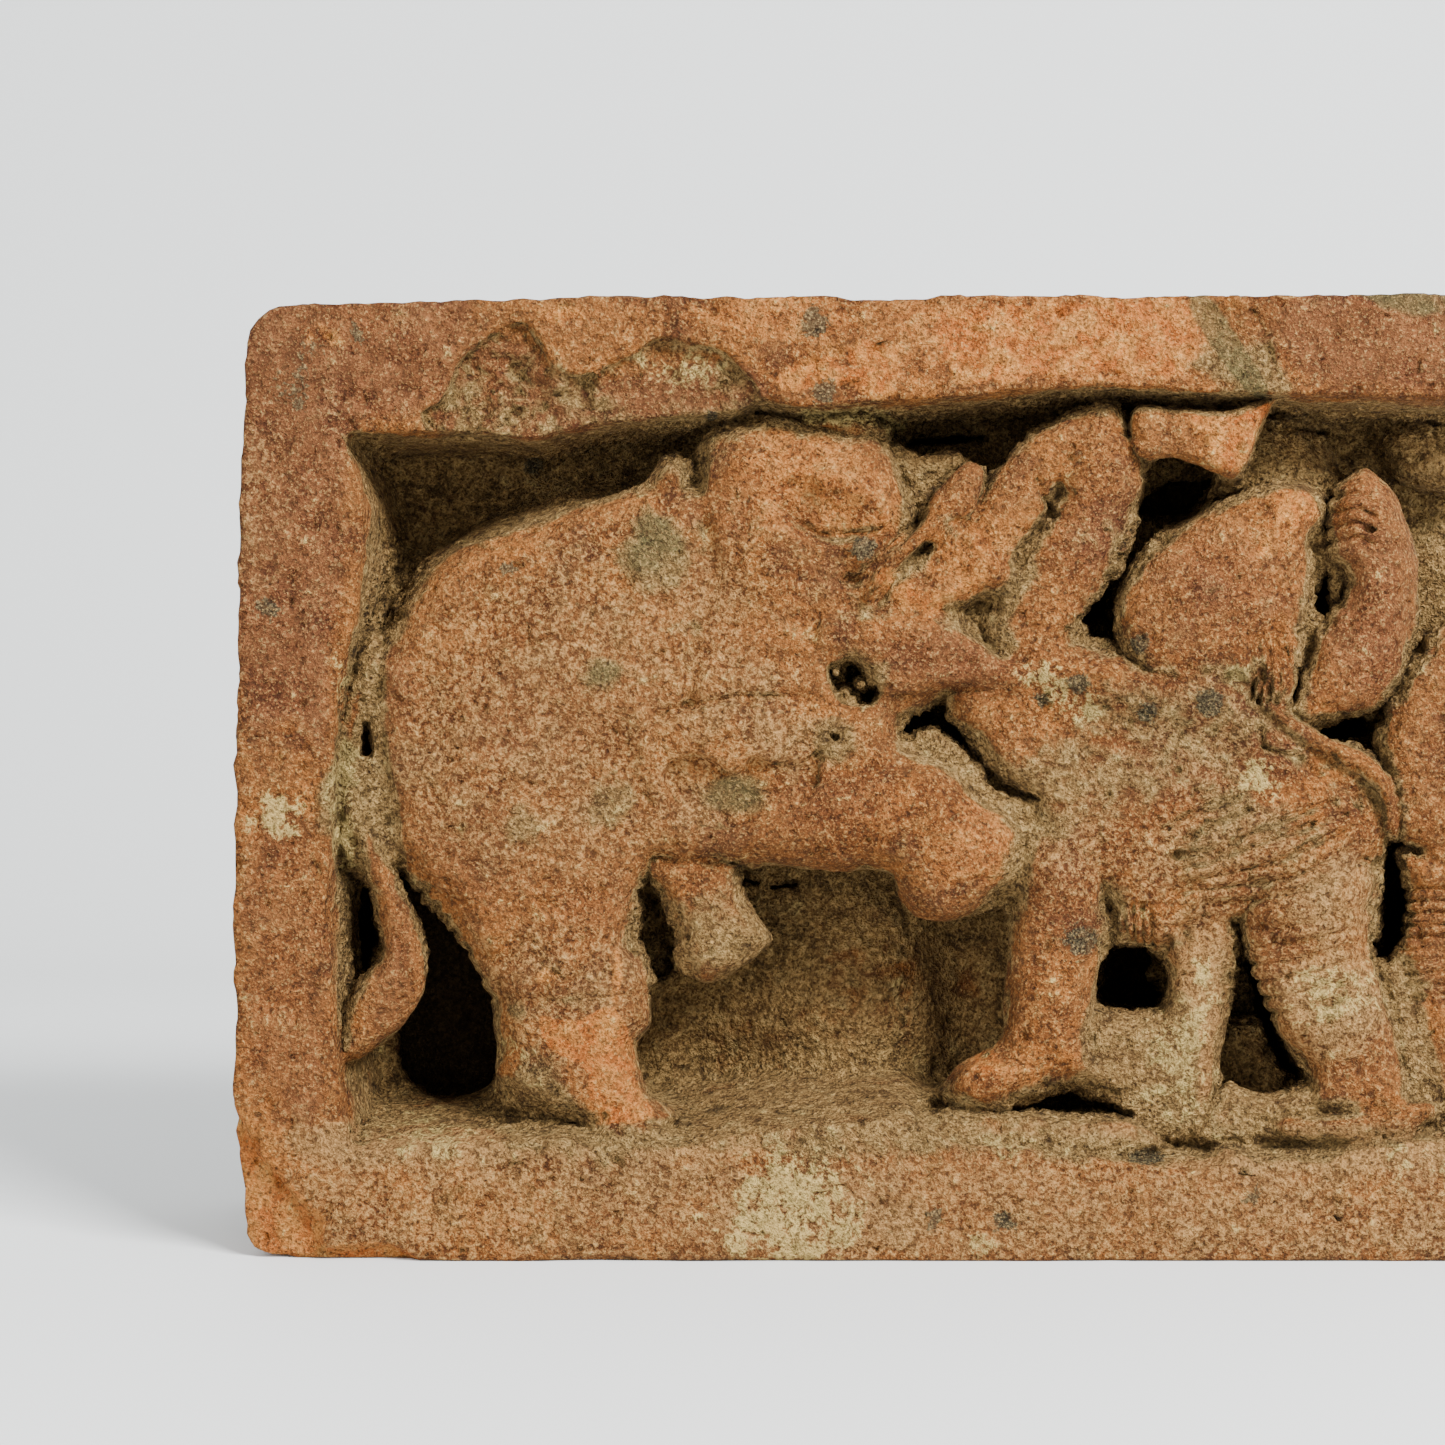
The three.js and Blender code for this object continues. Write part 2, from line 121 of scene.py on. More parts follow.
def inside(line, a, u):
    """How far a place lies inside a closed line, negative outside."""
    distance, _ = nearest(line, a, u)
    odd = np.zeros(a.shape, dtype=bool)
    for (a0, u0), (a1, u1) in zip(line[:-1, :2], line[1:, :2]):
        if u0 == u1:
            continue
        crosses = (u0 > u) != (u1 > u)
        odd ^= crosses & (a < a0 + (u - u0) * (a1 - a0) / (u1 - u0))
    return np.where(odd, distance, -distance)


def turned(a, u, centre, lean):
    """Places seen from a centre, along and across an axis that leans by degrees."""
    cosine, sine = math.cos(math.radians(lean)), math.sin(math.radians(lean))
    a, u = a - centre[0], u - centre[1]
    return a * cosine + u * sine, u * cosine - a * sine


def smooth_min(x, y, k):
    h = np.clip(0.5 + (y - x) / (2 * k), 0, 1)
    return y + (x - y) * h - k * h * (1 - h)


def smooth_max(x, y, k):
    return -smooth_min(-x, -y, k)


def smooth_step(x, low, high):
    t = np.clip((x - low) / (high - low), 0, 1)
    return t * t * (3 - 2 * t)


NOISE_COUNT = 8192
NOISE_TABLE = np.random.default_rng(7).random(NOISE_COUNT)


def noise(points, seed):
    """Smooth noise from 0 to 1 at rows of coordinates, with cells one unit wide."""
    cell = np.floor(points).astype(np.int64)
    f = points - cell
    f = f * f * f * (f * (f * 6 - 15) + 10)
    primes = np.array([73856093, 19349663, 83492791][: points.shape[1]])
    total = 0
    for corner in np.ndindex(*(2,) * points.shape[1]):
        key = ((cell + corner) * primes).sum(axis=1) + seed * 7919
        key = (key ^ (key >> 13)) * 1274126177
        weight = np.prod(np.where(corner, f, 1 - f), axis=1)
        total = total + weight * NOISE_TABLE[(key >> 5) & (NOISE_COUNT - 1)]
    return total


def layered_noise(points, seed, octaves):
    total, size, amount = 0, 1.0, 1.0
    weight = 0
    for octave in range(octaves):
        total = total + amount * noise(points * size, seed + 31 * octave)
        weight += amount
        size *= 2.03
        amount *= 0.5
    return total / weight


def plane_noise(cell, seed, octaves=3):
    """Layered noise from -1 to 1 over the face of the lattice, with cells of a given width in squares."""
    points = np.stack([GRID_A.ravel(), GRID_U.ravel()], axis=1) / cell
    return (2 * layered_noise(points, seed, octaves) - 1).reshape(GRID_A.shape)


# The carving tools

class Carving:
    """A field of distances over the lattice, in squares: negative in stone and positive in air."""

    def __init__(self):
        shape = (len(ACROSS), len(UP), len(DEEP))
        self.stone = np.full(shape, FAR, dtype=np.float32)
        self.raised = np.zeros(shape[:2])

    def join(self, where, low, high, field, blend):
        """Joins a form's field to the stone over a window, for depths from low to high."""
        d = slice(np.searchsorted(DEEP, low - blend - 1), np.searchsorted(DEEP, high + blend + 1))
        part = self.stone[where[0], where[1], d]
        self.stone[where[0], where[1], d] = smooth_min(part, field(DEEP[d]), blend + SOIL_FILLET[d])

    def cut(self, where, low, high, field, blend):
        """Cuts a form's field out of the stone over a window, for depths from low to high."""
        d = slice(np.searchsorted(DEEP, low - blend - 1), np.searchsorted(DEEP, high + blend + 1))
        part = self.stone[where[0], where[1], d]
        self.stone[where[0], where[1], d] = smooth_max(part, -field(DEEP[d]), blend)

    def limb(self, points, fronts, back, blend=0.8, flat=2.0):
        """A round limb along (across, up, radius) points, each with the depth of its front."""
        rows = np.array(points, dtype=float)
        line = smooth_line(np.column_stack([rows, fronts]))
        where = window(line, rows[:, 2].max() + 2 * blend + WINDOW_MARGIN)
        a, u = GRID_A[where], GRID_U[where]
        distance, values = nearest(line, a, u)
        radius, near = values[..., 0], values[..., 1]
        reach = np.maximum((back - near) / 2, 0.3)
        middle = near + reach
        scale = np.minimum(radius, reach)[..., None]
        sideways = ((distance / radius) ** flat)[..., None]

        def field(deep):
            off = (deep - middle[..., None]) / reach[..., None]
            return (sideways + np.abs(off) ** flat) ** (1 / flat) * scale - scale

        self.join(where, float(near.min()), back, field, blend)

    def boss(self, centre, half, front, back, lean=0, blend=1.2):
        """A rounded swelling with half-sizes across and up, leaning by degrees."""
        where = window(np.array([centre]), max(half) + 2 * blend + WINDOW_MARGIN)
        along, over = turned(GRID_A[where], GRID_U[where], centre, lean)
        sideways = ((along / half[0]) ** 2 + (over / half[1]) ** 2)[..., None]
        reach = (back - front) / 2
        scale = min(min(half), reach)

        def field(deep):
            off = (deep - front - reach) / reach
            return (np.sqrt(sideways + off**2) - 1) * scale

        self.join(where, front, back, field, blend)

    def slab(self, outline, front, shoulder, drop, back=None, undercut=0.8, blend=0.8):
        """A raised form with an outline. Its face is at the front depth and rounds off by the drop over
        the shoulder's width, and its sides draw in behind."""
        line = smooth_line(outline, closed=True)
        where = window(line, 2 * blend + 3.0)
        a, u = GRID_A[where], GRID_U[where]
        depth = inside(line, a, u)
        t = 1 - np.clip(depth / shoulder, 0, 1)
        face = (front + drop * (1 - np.sqrt(np.clip(1 - t**2, 0, 1))))[..., None]
        depth = depth[..., None]

        def field(deep):
            behind = np.clip((deep - front - drop) / (FLOOR - front - drop), 0, 1)
            sides = undercut * behind - depth
            found = smooth_max(sides, face - deep, 0.6)
            return found if back is None else smooth_max(found, deep - back, 0.6)

        self.join(where, front, FLOOR + 1 if back is None else back, field, blend)

    def pocket(self, points, front, back, blend=0.7):
        """A drilled hollow along (across, up, radius) points."""
        rows = np.array(points, dtype=float)
        line = smooth_line(rows) if len(rows) > 1 else np.vstack([rows, rows + [[0.01, 0, 0]]])
        where = window(line, rows[:, 2].max() + 2 * blend + 0.5)
        distance, values = nearest(line, GRID_A[where], GRID_U[where])
        outside = (distance - values[..., 0])[..., None]

        def field(deep):
            return smooth_max(outside, np.maximum(front - deep, deep - back), 1.2)

        self.cut(where, front, back, field, blend)

    def stroke(self, points, amount, width=None):
        """Raises a soft ridge along (across, up, half-width) points, or cuts a groove if below zero."""
        rows = np.array(points, dtype=float)
        if rows.shape[1] == 2:
            rows = np.column_stack([rows, np.full(len(rows), width)])
        line = smooth_line(rows)
        where = window(line, 3 * rows[:, 2].max())
        distance, values = nearest(line, GRID_A[where], GRID_U[where])
        self.raised[where] += amount * np.exp(-((distance / values[..., 0]) ** 2) * 1.4)

    def step(self, outline, amount, edge):
        """Raises or lowers an area with an outline, with a step of a given width along its edge."""
        line = smooth_line(outline, closed=True)
        where = window(line, edge + 0.5)
        depth = inside(line, GRID_A[where], GRID_U[where])
        self.raised[where] += amount * smooth_step(depth, -edge / 2, edge / 2)

    def dimple(self, centre, radius, amount, squash=1.0):
        """A round pit, or a round bump if the amount is above zero."""
        where = window(np.array([centre]), 2.2 * radius * max(squash, 1 / squash))
        a, u = GRID_A[where] - centre[0], (GRID_U[where] - centre[1]) / squash
        self.raised[where] += amount * np.exp(-((a**2 + u**2) / radius**2) ** 1.5)


def each(tool, *rows):
    """Uses a tool once for each row of its settings."""
    for row in rows:
        tool(*row)


def repeated(carving, times, shift, points, amount, width):
    """The same stroke several times, each moved on by the shift."""
    for turn in range(times):
        moved = [(a + turn * shift[0], u + turn * shift[1]) for a, u in points]
        carving.stroke(moved, amount, width)


# The block and its frame

LEFT_EDGE = [
    (-1.5, 6.5), (0, 5.4), (0.4, 3), (1.9, 1.3), (6.2, 0.7), (10.5, 0.3), (17.2, 0.1), (41.2, 0.1),
    (66.2, 0.5), (81.2, 0.9), (91.2, 1.4), (94, 2.3), (95.4, 4.3), (96.2, 9), (98.6, 12),
]
TOP_EDGE = [
    (0, 95.6), (4.3, 95.7), (10, 96), (16.8, 96.1), (24.8, 96.4), (34.3, 96.7), (39.1, 96.9), (48, 96.8),
    (51.8, 96.7), (59.8, 97), (62, 96.7), (66.8, 96.6), (76.8, 97), (94.8, 96.8), (109.8, 97), (125, 97),
]
END_WALL = [
    (0, 11.6), (10.7, 11.6), (15, 10.9), (20.2, 10.3), (31.2, 9.6), (46.2, 9.8), (56.2, 10.3), (64.2, 12),
    (74.2, 13), (78.4, 12.4), (83, 11.3), (97, 11.3),
]
LEDGE = [
    (0, 10.9), (11.8, 10.9), (20, 11.2), (32.8, 11.7), (41.8, 11.2), (47, 11.6), (52.8, 12.7), (60, 13.4),
    (66.8, 14), (70, 12.8), (72.8, 11.5), (80.5, 10.8), (86.4, 9.9), (97.5, 9), (100, 10.2), (103.7, 9.9),
    (109.9, 10.2), (116.1, 11.5), (126, 11.8),
]
LINTEL = [
    (0, 83), (11.3, 83), (22.5, 83.2), (29.6, 82.7), (32.7, 83.4), (37.5, 84.2), (43.9, 84.8), (50.3, 85.4),
    (52.8, 86.4), (56.8, 85.7), (66.8, 86.2), (76, 87), (85.8, 87.7), (95, 87.3), (102.8, 87), (126, 86.5),
]


def along_edge(table, places):
    """The value of an edge's table at places, smoothed a little."""
    line = smooth_line(table)
    return np.interp(places, line[:, 0], line[:, 1])


def block_and_frame(carving):
    spread = 1 + DEEP / EYE_AWAY
    real_a = EYE_ACROSS + (ACROSS[:, None] - EYE_ACROSS) * spread
    real_u = EYE_UP + (UP[:, None] - EYE_UP) * spread
    face = face_losses()
    wander = 0.16 * np.sin(DEEP / 3.1) + 0.1 * np.sin(DEEP / 1.3 + 1)

    left = (along_edge(LEFT_EDGE, real_u) + 0.5 * wander).astype(np.float32)
    top = (along_edge(TOP_EDGE, real_a) - 0.25 + 0.25 * wander).astype(np.float32)
    near = real_a.astype(np.float32)
    height = real_u.astype(np.float32)
    block = smooth_max(left[None, :, :] - near[:, None, :], height[None, :, :] - top[:, None, :], 0.7)
    block = smooth_max(block, -height[None, :, :] * np.ones_like(block[:, :1, :]), 1.3)
    block = smooth_max(block, (face[:, :, None] - DEEP).astype(np.float32), 0.5)
    block = smooth_max(block, (DEEP - BACK)[None, None, :] * np.ones_like(block[:1]), 1.2)

    ledge = along_edge(LEDGE, real_a) + LEDGE_RISE * np.clip(DEEP / FLOOR, 0, 1.1) ** 0.8
    lintel = along_edge(LINTEL, real_a) - 0.02 * DEEP
    wall = along_edge(END_WALL, real_u) + WALL_DRAFT * np.clip(DEEP / FLOOR, 0, 1.1)
    air = smooth_max(
        (ledge.astype(np.float32))[:, None, :] - height[None, :, :],
        height[None, :, :] - (lintel.astype(np.float32))[:, None, :],
        0.8,
    )
    air = smooth_max(air, (wall.astype(np.float32))[None, :, :] - near[:, None, :], 0.9)
    ground = (FLOOR + ground_waves()).astype(np.float32)
    air = smooth_max(air, DEEP[None, None, :] - ground[:, :, None], 2.2)
    carving.stone = smooth_max(block, -air, 0.5)


def flake(outline, depth):
    """A flake lost from the face: the depth over its outline, deepest at its middle."""
    line = smooth_line(outline, closed=True)
    spread = inside(line, GRID_A, GRID_U)
    hollow = smooth_step(spread, -0.1, 0.7)
    deepest = np.clip(spread / max(float(spread.max()), 0.1), 0, 1)
    return depth * hollow * (0.55 + 0.45 * np.sqrt(deepest))


LONG_FLAKE = [
    (18.7, 85), (20.9, 86.4), (22.2, 89.9), (24.4, 92.1), (27.3, 94.1), (29.6, 94.1), (31.1, 92.5),
    (32.4, 89.9), (34.7, 89), (36.8, 88.8), (38, 84), (32.7, 82.6), (25, 82), (20, 82.6),
]
SHORT_FLAKE = [
    (37.2, 89.9), (39.8, 90.9), (42, 92.3), (44.5, 92.5), (47.4, 91.8), (49.3, 91.2), (51.2, 89.3),
    (52.8, 87), (52, 84.6), (44, 83.6), (37.8, 83.4), (36.4, 86.6),
]
FLAKE_OVER_THE_HILT = [
    (96.6, 95), (98, 96.2), (101.5, 96), (104, 93.6), (104.4, 89), (102.4, 86), (98.6, 86.6),
    (96.8, 90.2),
]
BROKEN_CORNER = [
    (-1.5, 16), (0.8, 15.2), (2.6, 12.2), (4.4, 9.6), (7.4, 6.2), (9.4, 4), (9.6, 1.6), (15.5, 1.9),
    (19, 0.2), (18, -1.5), (-1.5, -1.5),
]
# Outline, depth, and how rough the break is
FACE_LOSSES = [
    (LONG_FLAKE, 2.4, 1), (SHORT_FLAKE, 2, 1), (FLAKE_OVER_THE_HILT, 0.9, 1), (BROKEN_CORNER, 2, 0.2),
    ([(0.4, 97.5), (0.4, 92), (2.6, 93.6), (4.6, 94.9), (7.2, 95.6), (7, 98)], 1.2, 1),
    ([(62, 97.6), (63.4, 95.9), (66.6, 95.6), (70.4, 96.2), (74, 97.8)], 0.8, 1),
    ([(30, -1.4), (31.5, 0.5), (38, 0.9), (46, 0.4), (52, 0.7), (60, 0.3), (66, -1.4)], 0.7, 0.2),
]


def face_losses():
    """How far the block's face lies behind the finished plane, in squares."""
    lost = 0.12 + 0.16 * plane_noise(9, 11) + 0.07 * plane_noise(2.2, 12)
    rough = 0.5 * plane_noise(2.4, 15) + 0.3 * plane_noise(1.1, 16, 2)
    for outline, depth, roughness in FACE_LOSSES:
        lost = np.maximum(lost, flake(outline, depth) * (1 + rough * roughness))
    return np.clip(lost, 0.0, None)


def ground_waves():
    """How far the recess floor lies behind its mean depth."""
    waves = 0.7 * plane_noise(13, 21) + 0.5 * plane_noise(4.5, 22)
    swell = ((GRID_A - 61.6) / 8.0) ** 2 + ((GRID_U - 25.0) / 13.5) ** 2
    waves -= 3.6 * np.exp(-(swell**1.6))
    low = 1.7 * np.exp(-(((GRID_A - 72.6) / 3.6) ** 2 + ((GRID_U - 28) / 9) ** 2))
    low += np.exp(-(((GRID_A - 47.5) / 4) ** 2 + ((GRID_U - 22) / 8) ** 2))
    return waves + 1.6 * low


# The elephant

BODY_AND_HIND_LEG = [
    (14.6, 49.2), (14, 54.2), (13.6, 57.6), (14.1, 60.3), (16.4, 63.8), (18, 66.1), (20, 68.9),
    (22.1, 70.6), (26.7, 72.8), (31.8, 74.6), (36.3, 76.1), (41.4, 77.4), (46.6, 77.9), (54, 77), (62, 74),
    (69, 70), (73, 65), (75.5, 61), (74.4, 58.4), (70.6, 56.2), (67.6, 54.6), (66.8, 52.6), (70, 50),
    (66, 47), (54, 42.4), (48.8, 40), (45, 39.6), (42.3, 40.2), (41.3, 38.6), (39.7, 33.5), (39.6, 31.8),
    (41.2, 29.9), (41.7, 27.6), (42, 23.8), (40.4, 21.8), (40.7, 19.7), (41.7, 17.2), (44, 15.4),
    (44.3, 14), (42, 11.6), (38.1, 10.8), (36.3, 11.3), (34.5, 13.8), (30, 15.5), (26.9, 18.4),
    (27.5, 21.5), (26.4, 23.8), (26.1, 26.3), (24.6, 29.2), (23.1, 32), (21.6, 34), (19.5, 36.8),
    (17.7, 39.1), (15.9, 41.6), (15.6, 44.7),
]
HEAD_OF_ELEPHANT = [
    (45.8, 74), (46.9, 78), (47.9, 81.6), (50.4, 83.6), (53, 84.4), (56.8, 83.9), (60.7, 82.9),
    (63.7, 82.6), (65.8, 81.2), (66.8, 78.8), (67.8, 76.2), (68.6, 73.4), (68.4, 69.8), (66.5, 66.5),
    (62.5, 64), (55, 63), (49, 67),
]
TRUNK = [
    (63.2, 68.6), (65.6, 70), (68.4, 71.4), (71.4, 73.6), (74.4, 76.4), (76.6, 79.2), (78.8, 81.6),
    (81.8, 83.7), (84.6, 84.4), (85, 80), (82.6, 77), (80.8, 74.2), (78.2, 70.4), (75.4, 67), (72.2, 65.2),
    (69, 64.6), (66, 65.4), (63.6, 66.8),
]
LEAF = [
    (68.6, 72.4), (69.3, 74.6), (70.4, 77), (72.3, 79.2), (74.2, 79.8), (75.2, 78.6), (74.9, 76),
    (73.6, 73.6), (71.8, 71.8), (70, 71.2),
]
SOIL_UNDER_TRUNK = [
    (70.6, 64.4), (74.3, 66.6), (77.6, 67.6), (79.6, 64.6), (80.4, 60), (77, 59.6), (73.3, 61.6),
]
SOIL_BY_THE_FOREARM = [
    (78, 80), (81.6, 79.4), (84, 75), (83, 69.6), (80.4, 66), (77.6, 69), (78.6, 74),
]
SOIL_BY_THE_TAIL = [
    (10.4, 50.4), (12.2, 51), (12.6, 56), (12.8, 61.6), (15, 62.4), (15.6, 57), (15.6, 50.6), (17.4, 46),
    (17.8, 41.6), (16.2, 39.6), (14.6, 39), (12, 39.4), (10.2, 43),
]
SOIL_BY_THE_LOBE = [
    (65.8, 81.2), (69, 80.4), (73, 80.4), (71, 76), (69.6, 72), (67, 72.6), (67, 77),
]
CRUST_ON_THE_HEAD = [
    (57, 84.6), (60.8, 85), (64.4, 84.2), (65.4, 82.4), (62, 81.8), (57.8, 82.6),
]
SOIL_BY_THE_HILT = [
    (97.6, 76.6), (98.8, 79.6), (101.6, 83.4), (104.6, 84.6), (108.6, 82.6), (110.4, 78.8), (108.6, 76.4),
    (103, 76),
]
SOIL_BY_THE_SAWN_END = [
    (116.4, 78.4), (115.2, 82.4), (119, 84.4), (126, 85), (133, 85), (133, 77.6), (124, 76.6),
    (119.6, 77.2),
]
RAISED_LEG = [
    (55, 48.6), (58.4, 49.3), (62.5, 50.6), (66.3, 50.7), (70.1, 50.5), (72.7, 48.8), (75.2, 46.5),
    (77.8, 44.7), (79.1, 42.7), (79.1, 40.4), (77.8, 37.8), (75.2, 35.8), (72.7, 34.3), (70.1, 34),
    (67.6, 35), (66.3, 36.6), (65.9, 38.5), (63.8, 39.6), (61.2, 39.1), (57.4, 39.4), (53.5, 39.9),
    (49, 40.1), (47.2, 41.4), (50, 45.5),
]
HANGING_LEG = [
    (41.8, 40.6), (43.3, 36.3), (44.6, 33.2), (44.9, 30.2), (46.9, 27.9), (48.4, 28.1), (51, 29.2),
    (53.5, 31.2), (54.1, 32.4), (52.8, 34.3), (51, 36.8), (49.4, 40.6),
]
TAIL_TUFT = [
    (12, 43.5), (13.6, 38.2), (14.9, 34), (15.2, 31.5), (14.7, 29.7), (12.9, 27.9), (11.3, 24.8),
    (10.5, 21.2), (10.1, 19.6), (12.1, 20.2), (15.2, 22), (17.2, 24), (19, 26.6), (19.3, 29.9),
    (18.5, 33.2), (17.2, 36.3), (15.7, 39.9), (14.3, 43.5),
]


def elephant(carving):
    carving.slab(BODY_AND_HIND_LEG, 2.2, 3.8, 4.4, undercut=1.4)
    each(
        carving.boss,
        ((34.5, 58.5), (20, 17), 0.7, 34, 12, 3), ((26, 48.5), (11, 16), 0.9, 30, 8, 3),
        ((50, 53.5), (12, 10), 0.6, 28, -10, 3), ((33.5, 26), (6.6, 14), 1.7, 22, -12, 2),
        ((40, 12.4), (4.6, 2.4), 0.5, 12, 0, 1),
    )
    carving.slab(HEAD_OF_ELEPHANT, 1.8, 3.4, 4.0, blend=0.6)
    each(
        carving.boss,
        ((52.4, 78.6), (5.6, 6), 0.7, 18, 0, 1.6), ((54.6, 71), (8.6, 9), 0.5, 20, -12, 2),
        ((60.8, 77.2), (5.4, 4), 0.3, 14, -20, 1), ((62.6, 70.6), (2.6, 1.8), 1, 8, -50, 0.6),
        ((43.8, 77.8), (1.9, 2.8), 3, 14, -30, 1.4),
    )
    carving.slab(RAISED_LEG, 1.3, 3.8, 4.8, undercut=1.6, blend=0.6)
    each(
        carving.boss,
        ((66, 45), (10, 5), 0.5, 18, 0, 2), ((72.6, 41), (5.6, 6), 0.8, 18, 0, 1.6),
    )
    carving.slab(HANGING_LEG, 3.6, 2.8, 3.4, undercut=1.0, blend=0.6)
    each(
        carving.slab,
        (SOIL_UNDER_TRUNK, 6.4, 2, 2), (SOIL_BY_THE_FOREARM, 6.6, 2, 2), (SOIL_BY_THE_LOBE, 6.2, 2, 2),
        (CRUST_ON_THE_HEAD, 4.4, 2, 2),
    )
    carving.slab(TRUNK, 1.5, 2.4, 3.4, blend=0.6)
    carving.boss((75.2, 70.0), (3.2, 4.6), 0.7, 14, lean=42, blend=0.9)
    tusk = [(63.6, 66.6, 0.7), (65.9, 69.5, 0.95), (68.4, 72.0, 0.95), (71.0, 74.6, 0.9)]
    carving.limb(tusk, [0.6, 0.1, 0.1, 0.6], 6, blend=0.25)
    carving.boss((68.0, 71.4), (2.6, 2.2), 3.0, 14, lean=45, blend=0.8)
    carving.slab(LEAF, 0.6, 1.5, 2.2, blend=0.25)
    tail_root = [(14, 60.4, 1.5), (12.5, 57, 1.2), (11.9, 52.6, 1), (11.9, 48.4, 1.1), (12.6, 44, 1.3)]
    carving.limb(tail_root, [3.4, 3.4, 3.6, 3.6, 3.2], 9, blend=0.5)
    carving.slab(TAIL_TUFT, 2.2, 2.2, 2.6, back=9, undercut=0.3, blend=0.5)
    carving.slab(SOIL_BY_THE_TAIL, 3.8, 1.6, 2.0, blend=1.2)
    each(
        carving.boss,
        ((11.8, 45.6), (3, 4.2), 4.2, 26, 0, 1.2), ((10.6, 52.6), (1.6, 4.4), 5.4, 24, 0, 1),
    )


# The soldiers

TORSO = [
    (71.4, 57.6), (75, 60.4), (78.6, 62.6), (82.4, 63.2), (86, 61.6), (90, 60.2), (93.6, 58.4),
    (99.8, 59.4), (103.2, 56.4), (107, 53.2), (112, 50.4), (115, 46.8), (115.7, 43.5), (114.2, 40),
    (110, 38), (106, 36.2), (103, 35), (98, 33.4), (94.5, 32.6), (91, 31.9), (88.4, 32.2), (87.6, 35.5),
    (86, 38), (80.6, 40), (80.4, 44.6), (77.2, 47.6), (74.8, 50.8), (73.2, 52.6), (71.8, 55),
]
PUSHING_ARM = [
    (58.5, 64.8), (59.2, 65.1), (62.9, 65.5), (65.6, 65), (70.9, 64.2), (73.6, 62.6), (77, 60.4),
    (80, 59.4), (79, 56.8), (76.3, 57.2), (70.9, 57.3), (65.6, 56.2), (64.4, 57), (62.9, 59.3),
    (61.5, 60.6), (59.2, 60.9), (58.4, 61.4),
]
HEAD_OF_SOLDIER = [
    (88.8, 65), (91.2, 70), (96, 73.8), (100.4, 76.2), (104, 77.6), (107.4, 77.9), (109, 76.6),
    (108.8, 74.2), (107.8, 71.4), (108, 67), (106.4, 62.4), (103.6, 58.6), (98.8, 57), (93.4, 57.6),
    (89.8, 60.6),
]
BRAIDS = [
    (100.6, 63.4), (104, 64.8), (106.6, 63), (106.8, 59.4), (106.2, 56), (105, 54.8), (103.6, 56.6),
    (102.4, 59.4), (101, 61.4),
]
HILT = [
    (90.2, 85.1), (95.1, 85.2), (98.9, 85.1), (102.4, 85.9), (104.1, 86.3), (103.9, 85.6), (102.7, 82.8),
    (101.6, 80.3), (100.3, 78.3), (99.6, 78.3), (98.3, 79), (96.4, 79.8), (94, 80.5), (90.4, 80.3),
]
FIST = [
    (79, 81), (81.5, 82.9), (84.3, 84.7), (88, 86), (89.7, 83.4), (90.9, 81.4), (91.2, 79.8), (90.6, 76.6),
    (88, 74.6), (84.4, 75), (82.4, 77.6), (80.4, 79.4),
]
RAISED_ARM = [
    (109.4, 72.2), (110, 74.9), (111.1, 77.1), (113.2, 79), (114.9, 77.6), (116.8, 74.9), (118.1, 71.9),
    (118.4, 68.7), (118.2, 64.4), (117.3, 60.3), (114.9, 56.2), (111.3, 54.5), (107.8, 53.5), (105.9, 54.7),
    (105.9, 55.9), (107.5, 59.5), (108.6, 62.7), (111.3, 66.5), (111.7, 68.2), (110, 70.3),
]
FRONT_LEG = [
    (80.4, 43.7), (78.7, 37.5), (77.8, 31.6), (77.5, 25.7), (76.6, 21.8), (72.8, 19.1), (71.4, 16.8),
    (73.4, 14.6), (77, 14.8), (79.4, 16.6), (82.1, 17.5), (86.1, 17.6), (89, 16.8), (89.4, 18.4),
    (86.7, 20.2), (86.1, 22.7), (86, 25.7), (86.2, 28.6), (87, 30.7), (88, 34.2), (87.5, 36), (86.5, 41),
]
STRUT = [
    (95.6, 34.5), (94.6, 31.4), (93.8, 29.2), (93.5, 25.7), (92, 22), (89, 18.4), (87.6, 15.2),
    (88.5, 12.6), (98.8, 12.2), (98.4, 17.9), (99, 22.7), (99.6, 27.1), (100.2, 30.1), (100, 34.8),
]
REAR_LEG = [
    (101.2, 36), (101.5, 30.1), (102.4, 27.7), (103.9, 24.2), (105.9, 21.2), (108, 18.8), (108, 15),
    (118.4, 14), (118.2, 17), (117.3, 19.7), (116.9, 22.7), (116, 25.7), (114.8, 28.9), (113.4, 31.6),
    (113.6, 35.1), (114.2, 38.4), (111, 43), (104, 43),
]
SOIL_BETWEEN = [
    (67, 51.5), (73, 53.6), (80, 48), (86, 44), (84, 37), (79.2, 36.2), (76, 37), (72, 40), (66, 46),
]
SOIL_UNDER_FOOT = [
    (65, 11.6), (68.4, 13.6), (71.6, 15.4), (76.4, 14.9), (80, 14.9), (84, 14.4), (88, 14.5), (91, 13.6),
    (93, 11.6), (88, 9.8), (80, 10.2), (70, 10.4),
]
SECOND_BODY = [
    (133, 67.5), (127, 66.2), (121.3, 63.7), (118.6, 60.8), (116.6, 57.2), (114.6, 52.2), (115.6, 46.2),
    (116.2, 43.2), (119, 40.6), (127, 38.8), (133, 38.6),
]
SECOND_LEG = [
    (117.2, 41.4), (117, 37.5), (116.4, 33), (116.2, 30), (117.4, 25), (118.4, 20), (119, 15), (120, 12.2),
    (133, 11.8), (133, 42),
]
SOIL_BY_THE_STRUT = [
    (84.6, 25), (88, 25.4), (92.8, 25.2), (95.4, 26.6), (96.4, 20), (95.8, 14.6), (88, 14), (85, 18),
]
